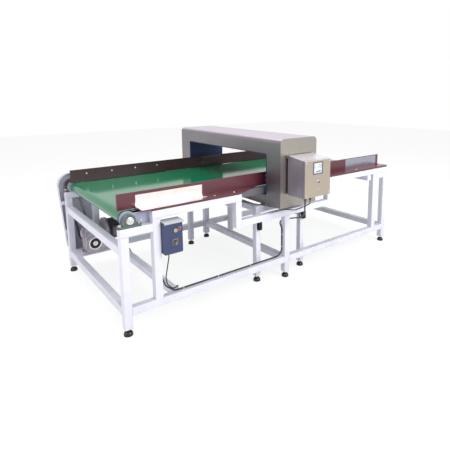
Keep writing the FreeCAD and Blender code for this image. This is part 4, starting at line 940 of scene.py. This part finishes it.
@dataclass
class Welds:
    """Fillet welds in the corners where the square tubes meet."""

    nodes: tuple[str, ...] = ("frame_near", "frame_far", "cross_rails", "detector_stand")
    bead: float = 0.0026
    step: float = 0.0034
    inset: float = 0.003
    touch: float = 0.0004

    def corners(self) -> Iterable[Box]:
        """Finds the inner corners where one tube stops on another.

        Returns:
            Both ends of each corner.
        """
        boxes = [box for node in self.nodes for box in loose_boxes(node)]
        for index, first in enumerate(boxes):
            for second in boxes[index + 1:]:
                for axis in range(3):
                    for one, other in ((first, second), (second, first)):
                        if abs(one[1][axis] - other[0][axis]) < self.touch:
                            yield from self.edges(one, other, axis)

    def edges(self, one: Box, other: Box, axis: int) -> Iterable[Box]:
        """The edges of one contact where just one of the two tubes goes on.

        Args:
            one: the box that ends at the contact.
            other: the box that starts there.
            axis: the axis across the contact.

        Returns:
            Both ends of each such edge.
        """
        sides = [side for side in range(3) if side != axis]
        low = {side: max(one[0][side], other[0][side]) for side in sides}
        high = {side: min(one[1][side], other[1][side]) for side in sides}
        if any(high[side] - low[side] < 0.012 for side in sides):
            return
        for side, run in (sides, sides[::-1]):
            for end, value in ((0, low[side]), (1, high[side])):
                stops = [abs(box[end][side] - value) < self.touch for box in (one, other)]
                if stops.count(True) == 1:
                    start, stop = Vector(), Vector()
                    start[axis] = stop[axis] = one[1][axis]
                    start[side] = stop[side] = value
                    start[run], stop[run] = low[run] + self.inset, high[run] - self.inset
                    yield start, stop

    def build(self) -> None:
        """Lays every bead as one group."""
        work = Workpiece("weld_beads", FRAME, "frame_paint")
        for start, stop in self.corners():
            count = max(3, round((stop - start).length / self.step) * 2)
            points = [start.lerp(stop, index / count) for index in range(count + 1)]
            radii = [self.bead * (1.16 if index % 2 else 0.90) for index in range(count + 1)]
            radii[0] = radii[-1] = self.bead * 0.55
            work.swept(points, radii, 6)
        work.done()


@dataclass
class DriveBearings:
    """What shows in the two pillow blocks: the insert, its seal, the locking collar and a nipple."""

    insert: float = 0.0225
    seal: float = 0.0180
    shaft: float = 0.0126
    collar: float = 0.0190
    collar_depth: float = 0.0120

    def build(self) -> None:
        """Builds both sides."""
        low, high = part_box("drive_shaft")
        x, z = (low.x + high.x) / 2, (low.z + high.z) / 2
        inserts = Workpiece("bearing_inserts", BRIGHT, "shaft_steel")
        seals = Workpiece("bearing_seals", RUBBER, "seal_rubber")
        collars = Workpiece("locking_collars", BRIGHT, "shaft_steel", "drive")
        screws = Workpiece("collar_screws", CHAIN, "zinc_steel", "drive")
        nipples = Workpiece("grease_nipples", BRIGHT, "zinc_steel")
        for side in (-1, 1):
            face = Vector((x, front_face("pillow_blocks", x, z, 0.030, side), z))
            out = Vector((0.0, float(side), 0.0))
            inserts.turned([(self.seal, -0.002), (self.insert, -0.002), (self.insert, 0.0012),
                            (self.insert - 0.001, 0.002), (self.seal + 0.001, 0.002), (self.seal, 0.0012)],
                           face, out, True)
            seals.turned([(self.shaft + 0.001, -0.002), (self.seal, -0.002), (self.seal, 0.0006),
                          (self.shaft + 0.001, 0.0012)], face, out, True)
            deep = self.collar_depth
            collars.turned([(self.shaft, 0.002), (self.collar - 0.001, 0.002), (self.collar, 0.003),
                            (self.collar, deep), (self.collar - 0.0012, deep + 0.0012),
                            (self.shaft, deep + 0.0012)],
                           face, out, True)
            for turn in (0.6, 2.7):
                around = Vector((math.cos(turn), 0.0, math.sin(turn)))
                screws.turned([(0.0024, -0.001), (0.0024, 0.0003), (0.0014, 0.0003), (0.0012, -0.0006)],
                              face + out * (deep * 0.62) + around * self.collar, around, False, 12)
            head = Vector((x - 0.019, face.y - side * 0.014, z + 0.0245))
            nipples.turned([(0.0030, -0.004), (0.0030, 0.003), (0.0018, 0.004), (0.0024, 0.0065),
                            (0.0014, 0.0085)],
                           head, Vector((-0.5, 0.0, 0.86)).normalized(), False, 12)
        for work in (inserts, seals, collars, screws, nipples):
            work.done()


@dataclass
class GuardRun:
    """The stretch of each side guard that runs on through the head's opening."""

    gap: float = 0.0006
    thickness: float = 0.008
    strap: float = 0.034
    strap_thickness: float = 0.002
    strap_foot: float = 0.016
    strap_top: float = 0.012
    screw: float = 0.0042
    screw_heights: tuple[float, ...] = (0.034, 0.070)
    screw_share: float = 0.6

    def build(self) -> None:
        """Builds both sides with their joint straps."""
        screw_head = [(self.screw, -0.0002), (self.screw, 0.0006), (0.0030, 0.0019), (0.0016, 0.0022)]
        for side, name in ((-1, "near"), (1, "far")):
            low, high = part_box("infeed_guard_" + name)
            start, stop = high.x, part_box("outfeed_guard_" + name)[0].x
            inner = high.y if side < 0 else low.y
            outer = inner + side * self.thickness
            # The far run takes the lacquer copy painted darker as painted shade.
            finish = GUARD if side < 0 else GUARD_PAINTED_SHADE
            work = Workpiece("guard_run_" + name, finish, "guard_maroon")
            work.block((start + self.gap, min(inner, outer), low.z),
                       (stop - self.gap, max(inner, outer), high.z), 0.0012)
            work.done()
            straps = Workpiece("guard_straps_" + name, finish, "guard_maroon")
            screws = Workpiece("strap_screws_" + name, ZINC, "zinc_steel")
            face = outer + side * self.strap_thickness
            for joint in (start, stop):
                straps.block((joint - self.strap, min(outer, face), low.z + self.strap_foot),
                             (joint + self.strap, max(outer, face), high.z - self.strap_top), 0.0008)
                for along in (-self.screw_share, self.screw_share):
                    for height in self.screw_heights:
                        place = Vector((joint + along * self.strap, face, low.z + height))
                        screws.turned(screw_head, place, Vector((0.0, float(side), 0.0)), False, 18)
            straps.done()
            screws.done()


@dataclass
class ControlPanel:
    """What is on the control box: gasket, display, bezels, hinge and latch."""

    proud: float = 0.0006
    gasket: float = 0.0018
    gasket_width: float = 0.004
    bezel: float = 0.005
    digit_height: float = 0.022
    digit_width: float = 0.0115
    digit_gap: float = 0.0065
    stroke: float = 0.0026
    digits: tuple[str, ...] = ("abcdef", "bc", "abged", "abcdef")
    level_bars: int = 12
    bar_pitch: float = 0.0052
    bar_width: float = 0.0034
    bar_height: float = 0.006
    bar_rise: float = 0.0009

    def gasket_line(self) -> None:
        """The dark rubber between cover and body."""
        low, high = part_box("control_cover")
        out = Vector((self.proud, self.proud, self.proud))
        half = self.gasket / 2
        work = Workpiece("cover_gasket", RUBBER, "seal_rubber")
        work.surround(low - out, high + out, self.gasket_width, (high.y - half, high.y + half), 0.0003)
        work.done()

    def display(self) -> None:
        """The display's bezel, its digits and its level bars."""
        low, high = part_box("display")
        face = low.y
        bezel = Workpiece("display_bezel", TRIM_GREY, "trim_grey")
        edge = Vector((self.bezel, 0.0, self.bezel))
        bezel.surround(low - edge, high + edge, self.bezel, (face - 0.0022, face + 0.0004), 0.0007)
        bezel.done()
        marks = Workpiece("display_digits", INK, "display_glass")
        pitch = self.digit_width + self.digit_gap
        start = (low.x + high.x) / 2 - pitch * (len(self.digits) - 1) / 2
        for index, lit in enumerate(self.digits):
            self.digit(marks, Vector((start + pitch * index, face, high.z - 0.026)), lit)
        foot = low.z + 0.010
        for bar in range(self.level_bars):
            x = low.x + 0.012 + bar * self.bar_pitch
            top = foot + self.bar_height + self.bar_rise * bar
            marks.block((x, face - 0.0004, foot), (x + self.bar_width, face + 0.0002, top), 0.0001)
        marks.done()

    def digit(self, work: Workpiece, centre: Vector, lit: str) -> None:
        """Adds the lit strokes of one digit.

        Args:
            work: the mesh that gets them.
            centre: the middle of the digit, on the display's face.
            lit: the letters of the strokes that are lit.
        """
        wide, tall, half = self.digit_width / 2, self.digit_height / 2, self.stroke / 2
        strokes = {"a": ((0, tall), True), "g": ((0, 0), True), "d": ((0, -tall), True),
                   "f": ((-wide, tall / 2), False), "b": ((wide, tall / 2), False),
                   "e": ((-wide, -tall / 2), False), "c": ((wide, -tall / 2), False)}
        for name in lit:
            (x, z), level = strokes[name]
            reach = (wide if level else tall / 2) - 0.0005
            tips = [(-reach, 0), (half - reach, half), (reach - half, half), (reach, 0),
                    (reach - half, -half), (half - reach, -half)]
            spots = [(u, v) if level else (v, u) for u, v in tips]
            points = [centre + Vector((x + across, -0.0004, z + above)) for across, above in spots]
            work.outline(points, Vector((0.0, 0.0006, 0.0)))

    def bezels(self) -> None:
        """The rings round the push button and the lamp."""
        work = Workpiece("panel_bezels", BRIGHT, "zinc_steel")
        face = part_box("control_cover")[0].y
        for node, width in (("panel_button", 0.0034), ("panel_lamp", 0.0022)):
            low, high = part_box(node)
            inner = (high.x - low.x) / 2 + 0.0004
            centre = Vector(((low.x + high.x) / 2, face, (low.z + high.z) / 2))
            work.turned([(inner, -0.0005), (inner + width, -0.0005), (inner + width, 0.0010),
                         (inner + width * 0.6, 0.0022), (inner, 0.0018)], centre, TOWARDS_OPERATOR, True)
        work.done()

    def hardware(self) -> None:
        """The hinge at the back of the roof and the latch at the cover's upper corner."""
        low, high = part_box("control_box")
        hinge = Workpiece("box_hinge", CHAIN, "bracket_steel")
        hinge.block((low.x - 0.010, high.y - 0.004, high.z - 0.020),
                    (low.x + 0.030, high.y + 0.011, high.z - 0.004), 0.001)
        hinge.swept([Vector((low.x - 0.012, high.y - 0.002, high.z - 0.004)),
                     Vector((low.x + 0.032, high.y - 0.002, high.z - 0.004))], [0.0032, 0.0032], 14)
        hinge.done()
        latch = Workpiece("cover_latch", BRIGHT, "zinc_steel")
        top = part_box("control_cover")[1].z
        latch.block((high.x, low.y - 0.012, top - 0.046),
                    (high.x + 0.005, low.y + 0.020, top - 0.016), 0.0012)
        latch.swept([Vector((high.x + 0.006, low.y - 0.010, top - 0.040)),
                     Vector((high.x + 0.009, low.y - 0.002, top - 0.031)),
                     Vector((high.x + 0.006, low.y + 0.010, top - 0.022))], [0.0016, 0.0019, 0.0016], 10)
        latch.done()

    def build(self) -> None:
        """Builds everything on the box."""
        self.gasket_line()
        self.display()
        self.bezels()
        self.hardware()


@dataclass
class SwitchPanel:
    """What is on the switch box: rings round the buttons, the knob's scale, its grip and pointer."""

    ticks: int = 11
    sweep: float = math.radians(300.0)
    scale_inner: float = 0.0160
    scale_outer: float = 0.0205
    grips: int = 20

    def rings(self) -> None:
        """The bright rings on the button collars."""
        work = Workpiece("button_rings", BRIGHT, "trim_grey")
        collars = [box for box in loose_boxes("switch_trim") if box[0].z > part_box("speed_knob")[1].z]
        for low, high in collars:
            centre = Vector(((low.x + high.x) / 2, low.y, (low.z + high.z) / 2))
            out = (high.x - low.x) / 2
            work.turned([(out - 0.0024, -0.0006), (out, -0.0006), (out, 0.0002), (out - 0.0008, 0.0010),
                         (out - 0.0020, 0.0008)], centre, TOWARDS_OPERATOR, True)
        work.done()

    def scale(self) -> None:
        """Tick marks and a fine ring round the knob."""
        low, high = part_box("speed_knob")
        plate = next(box for box in loose_boxes("switch_trim") if box[0].z < low.z)
        centre = Vector(((low.x + high.x) / 2, plate[0].y, (low.z + high.z) / 2))
        work = Workpiece("speed_scale", PALE_INK, "trim_grey")
        for tick in range(self.ticks):
            turn = self.sweep * (tick / (self.ticks - 1) - 0.5)
            out = Vector((math.sin(turn), 0.0, math.cos(turn)))
            across = Vector((out.z, 0.0, -out.x)) * (0.00055 if tick % 5 else 0.0009)
            tip = self.scale_outer if tick % 5 else self.scale_outer + 0.0008
            base = centre + Vector((0.0, -0.0003, 0.0))
            work.outline([base + out * self.scale_inner - across, base + out * self.scale_inner + across,
                          base + out * tip + across, base + out * tip - across], Vector((0.0, 0.0004, 0.0)))
        work.turned([(0.0148, -0.0002), (0.0156, -0.0002), (0.0156, 0.0004), (0.0148, 0.0004)], centre,
                    TOWARDS_OPERATOR, True)
        work.done()

    def knob(self) -> None:
        """The knob's grip ribs and its pointer, which starts at the scale's low end."""
        low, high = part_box("speed_knob")
        radius = (high.x - low.x) / 2
        centre = Vector(((low.x + high.x) / 2, low.y, (low.z + high.z) / 2))
        grip = Workpiece("knob_grip", KNOB, "knob_black", "speed_knob")
        for rib in range(self.grips):
            turn = 2.0 * math.pi * rib / self.grips
            out = Vector((math.cos(turn), 0.0, math.sin(turn))) * (radius - 0.0009)
            grip.swept([centre + out + Vector((0.0, 0.0016, 0.0)), centre + out + Vector((0.0, 0.0135, 0.0))],
                       [0.0011, 0.0013], 8)
        grip.done()
        turn = -self.sweep / 2
        out = Vector((math.sin(turn), 0.0, math.cos(turn)))
        across = Vector((out.z, 0.0, -out.x)) * 0.0011
        base = centre + Vector((0.0, -0.0005, 0.0))
        pointer = Workpiece("knob_pointer", PALE_INK, "knob_black", "speed_knob")
        tail, shoulder = base - out * 0.003, base + out * (radius - 0.0025)
        pointer.outline([tail - across, tail + across, shoulder + across, base + out * (radius - 0.001),
                         shoulder - across], Vector((0.0, 0.0008, 0.0)))
        pointer.done()

    def build(self) -> None:
        """Builds everything on the switch box."""
        self.rings()
        self.scale()
        self.knob()


@dataclass
class DriveMotor:
    """The motor's cooling fins and fan grille, and the bright ring on the gearbox."""

    body_radius: float = 0.0755
    fins: int = 26
    fin_height: float = 0.009
    fin_thickness: float = 0.0018
    grille_rings: int = 4
    grille_inner: float = 0.016
    grille_pitch: float = 0.014
    grille_wire: float = 0.0014
    grille_sides: int = 40
    spokes: int = 6
    spoke_reach: tuple[float, float] = (0.014, 0.060)
    ring_inner: float = 0.0415
    ring_outer: float = 0.0500
    hub_bore: float = 0.0128
    hub_outer: float = 0.0185

    def cooling(self) -> None:
        """Straight fins along the motor's body."""
        low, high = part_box("motor_body")
        y, z = (low.y + high.y) / 2, (low.z + high.z) / 2
        work = Workpiece("cooling_fins", MOTOR_CAST, "motor_paint")
        for fin in range(self.fins):
            turn = 2.0 * math.pi * (fin + 0.5) / self.fins
            out = Vector((0.0, math.cos(turn), math.sin(turn)))
            across = Vector((0.0, -out.z, out.y)) * (self.fin_thickness / 2)
            root = Vector((low.x + 0.020, y, z)) + out * (self.body_radius - 0.002)
            tip = Vector((low.x + 0.024, y, z)) + out * (self.body_radius + self.fin_height)
            run = Vector((high.x - low.x - 0.026, 0.0, 0.0))
            points = [root - across, root + across, tip + across * 0.6, tip - across * 0.6]
            work.outline(points, run)
        work.done()

    def grille(self) -> None:
        """The rings and spokes of the fan grille."""
        low, high = loose_boxes("motor_covers")[0]
        centre = Vector((high.x + 0.0008, (low.y + high.y) / 2, (low.z + high.z) / 2))
        work = Workpiece("fan_grille", CHAIN, "motor_paint")
        for ring in range(self.grille_rings):
            radius = self.grille_inner + self.grille_pitch * ring
            turns = [2.0 * math.pi * step / self.grille_sides for step in range(self.grille_sides + 1)]
            points = [centre + Vector((0.0, math.cos(a), math.sin(a))) * radius for a in turns]
            work.swept(points, [self.grille_wire] * len(points), 6)
        for spoke in range(self.spokes):
            turn = 2.0 * math.pi / self.spokes * spoke + 0.3
            out = Vector((0.0, math.cos(turn), math.sin(turn)))
            work.swept([centre + out * reach for reach in self.spoke_reach], [self.grille_wire] * 2, 6)
        work.done()

    def gearbox_ring(self) -> None:
        """The machined ring of the gearbox's cover and the hub inside its seal."""
        low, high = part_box("output_shaft")
        x, z = (low.x + high.x) / 2, (low.z + high.z) / 2
        face = Vector((x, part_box("gearbox_seals")[0].y, z))
        ring = Workpiece("gearbox_ring", BRIGHT, "gearbox_grey")
        inner, outer = self.ring_inner, self.ring_outer
        ring.turned([(inner, 0.0), (outer, 0.0), (outer, 0.0008), (outer - 0.0010, 0.0016),
                     (inner + 0.0010, 0.0016), (inner, 0.0008)],
                    face + Vector((0.0, 0.0005, 0.0)), TOWARDS_OPERATOR, True, 48)
        ring.done()
        hub = Workpiece("gearbox_hub", BRIGHT, "shaft_steel", "output")
        bore, outer = self.hub_bore, self.hub_outer
        hub.turned([(bore, -0.001), (outer, -0.001), (outer, 0.0016), (outer - 0.0010, 0.0026),
                    (bore, 0.0026)], face, TOWARDS_OPERATOR, True, 36)
        hub.done()

    def build(self) -> None:
        """Builds everything on the drive."""
        self.cooling()
        self.grille()
        self.gearbox_ring()


@dataclass
class ChainPins:
    """The riveted pins of the roller chain, one at each end of every link."""

    pitch: float = 0.015875
    teeth: int = 16
    span_links: int = 28
    radius: float = 0.0023
    proud: float = 0.0010

    def places(self) -> Iterable[Vector]:
        """Finds the pins, once round both sprockets.

        Returns:
            The middle of each pin in the sprockets' middle plane.
        """
        top, bottom = self.centre("drive_sprocket"), self.centre("output_sprocket")
        along = (bottom - top).normalized()
        outward = Vector((-along.z, 0.0, along.x))
        ring = self.pitch / (2.0 * math.sin(math.pi / self.teeth))
        for start, run, out in ((top, along, outward), (bottom, -along, -outward)):
            far = bottom if start is top else top
            for link in range(self.span_links):
                yield start + out * ring + run * (self.pitch * link)
            for link in range(self.teeth // 2):
                turn = 2.0 * math.pi * link / self.teeth
                yield far + (out * math.cos(turn) + run * math.sin(turn)) * ring

    def centre(self, node: str) -> Vector:
        """The middle of a sprocket."""
        low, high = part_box(node)
        return (low + high) / 2

    def build(self) -> None:
        """Builds the pins as one group."""
        low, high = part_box("drive_chain")
        work = Workpiece("chain_pins", BRIGHT, "chain_steel")
        length = high.y - low.y
        for place in self.places():
            foot = Vector((place.x, low.y, place.z))
            work.turned([(self.radius * 0.6, -self.proud), (self.radius, -self.proud * 0.3),
                         (self.radius, length + self.proud * 0.3), (self.radius * 0.6, length + self.proud)],
                        foot, Vector((0.0, 1.0, 0.0)), False, 10)
        work.done()


@dataclass
class FarCouplers:
    """The cable couplers on the far legs of the stand, like those on its near legs."""

    depth: float = 0.027
    ribs: int = 4

    def build(self) -> None:
        """Builds both couplers."""
        stand_low, stand_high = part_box("detector_stand")
        legs = [box for box in loose_boxes("detector_stand") if box[1].z - box[0].z > 0.4]
        near = [box for box in loose_boxes("cable_couplers")
                if box[0].x > stand_low.x and box[1].x < stand_high.x]
        far_face = max(box[0].y for box in legs)
        near_face = min(box[0].y for box in legs)
        work = Workpiece("far_couplers", BLACK_PLASTIC, "coupler_black")
        for low, high in near:
            if abs(high.y - near_face) > 0.02:
                continue
            work.block((low.x, far_face - self.depth, low.z), (high.x, far_face, high.z), 0.0025)
            for rib in range(self.ribs):
                z = low.z + (high.z - low.z) * (rib + 1.0) / (self.ribs + 1.0)
                work.block((low.x - 0.0008, far_face - self.depth - 0.0008, z - 0.0012),
                           (high.x + 0.0008, far_face - 0.002, z + 0.0012), 0.0006)
        if len(work.form.verts):
            work.done()


# ---- Studio --------------------------------------------------------------------------------


@dataclass
class Studio:
    """A pale floor, soft lamps and the camera."""

    eye: Triple = (-2.04873, -2.72290, 1.41843)
    yaw: float = 0.67768
    pitch: float = -0.15713
    roll: float = -0.00352
    lens: float = 32.31
    shift: tuple[float, float] = (-0.0734, -0.1456)
    floor_size: float = 14.0
    floor_grey: float = 0.80
    floor_shadow: float = 0.24
    floor_glow: float = 0.82
    daylight: Triple = (0.965, 0.96, 1.0)
    daylight_strength: float = 0.56

    def camera(self) -> None:
        """Sets the camera at the operator's side, before the drive end."""
        ahead = Vector((math.sin(self.yaw) * math.cos(self.pitch), math.cos(self.yaw) * math.cos(self.pitch),
                        math.sin(self.pitch)))
        right = Vector((math.cos(self.yaw), -math.sin(self.yaw), 0.0))
        above = right.cross(ahead)
        turned = right * math.cos(self.roll) + above * math.sin(self.roll)
        upright = above * math.cos(self.roll) - right * math.sin(self.roll)
        data = bpy.data.cameras.new("camera")
        data.lens = self.lens
        data.sensor_width = 36.0
        data.shift_x, data.shift_y = self.shift
        data.clip_end = 60.0
        camera = bpy.data.objects.new("camera", data)
        axes = Matrix((turned, upright, -ahead)).transposed().to_4x4()
        camera.matrix_world = Matrix.Translation(self.eye) @ axes
        bpy.context.scene.collection.objects.link(camera)
        bpy.context.scene.camera = camera

    def lamp(self, name: str, place: Triple, target: Triple, size: float, power: float) -> None:
        """Adds a soft square lamp.

        Args:
            name: the lamp's name.
            place: where it hangs.
            target: the point it faces.
            size: its side in metres.
            power: its power in watts.
        """
        data = bpy.data.lights.new(name, "AREA")
        data.size = size
        data.energy = power
        lamp = bpy.data.objects.new(name, data)
        lamp.location = place
        lamp.rotation_mode = "QUATERNION"
        lamp.rotation_quaternion = (Vector(target) - Vector(place)).to_track_quat("-Z", "Y")
        bpy.context.scene.collection.objects.link(lamp)

    def world(self) -> None:
        """Gives the room an even light and a white look to the camera and in reflections."""
        world = bpy.data.worlds.new("room")
        bpy.context.scene.world = world
        book = Workbook(world)
        light = book.node("ShaderNodeBackground", {},
                          {"Color": self.daylight, "Strength": self.daylight_strength})
        white = book.node("ShaderNodeBackground", {}, {"Color": (1.0, 1.0, 1.0), "Strength": 1.0})
        room = book.node("ShaderNodeMixShader", {}, {0: book.plainly_seen(), 1: light, 2: white})
        book.output(room, "ShaderNodeOutputWorld")

    def floor(self) -> None:
        """Lays a white floor that keeps the machine's soft shadow."""
        mesh = bpy.data.meshes.new("floor")
        half = self.floor_size
        sheet = [(-half, -half, 0), (half, -half, 0), (half, half, 0), (-half, half, 0)]
        mesh.from_pydata(sheet, [], [(0, 1, 2, 3)])
        floor = bpy.data.objects.new("floor", mesh)
        bpy.context.scene.collection.objects.link(floor)
        book = Workbook(bpy.data.materials.new("studio floor"))
        matt, pale = (book.node("ShaderNodeBsdfDiffuse", {}, {"Color": (grey, grey, grey)})
                      for grey in (self.floor_grey, self.floor_shadow))
        glow = book.node("ShaderNodeEmission", {}, {"Color": (1.0, 1.0, 1.0), "Strength": self.floor_glow})
        lit = book.node("ShaderNodeAddShader", {}, {0: pale, 1: glow})
        book.output(book.node("ShaderNodeMixShader", {}, {0: book.plainly_seen(), 1: matt, 2: lit}))
        mesh.materials.append(book.owner)

    def build(self) -> None:
        """Sets up the whole studio."""
        self.floor()
        self.world()
        self.camera()
        self.lamp("key", (0.9, -5.2, 3.4), (0.0, 0.0, 0.5), 3.2, 215.0)
        self.lamp("over", (-0.4, 0.6, 5.2), (0.0, 0.0, 0.6), 4.0, 120.0)
        self.lamp("end", (-5.0, -0.8, 2.4), (-0.6, 0.0, 0.6), 2.6, 60.0)
        bpy.context.scene.view_settings.view_transform = "Standard"


def main() -> None:
    """Loads the machine, dresses it, adds its fine parts and sets up the studio."""
    logging.basicConfig(level=logging.INFO, format="%(message)s")
    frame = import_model()
    nodes: dict[str, bpy.types.Object] = frame["nodes"]
    CAD_NODES.update(nodes)
    for finish, names in FINISHED_WITH.items():
        for name in names:
            finish.dress(nodes[name])
            LOG.info("dressed %s with %s", name, finish.name)
    for assembly in (Feet(), Welds(), DriveBearings(), GuardRun(), ControlPanel(), SwitchPanel(),
                     DriveMotor(), ChainPins(), FarCouplers()):
        assembly.build()
    Studio().build()


if __name__ == "__main__":
    main()
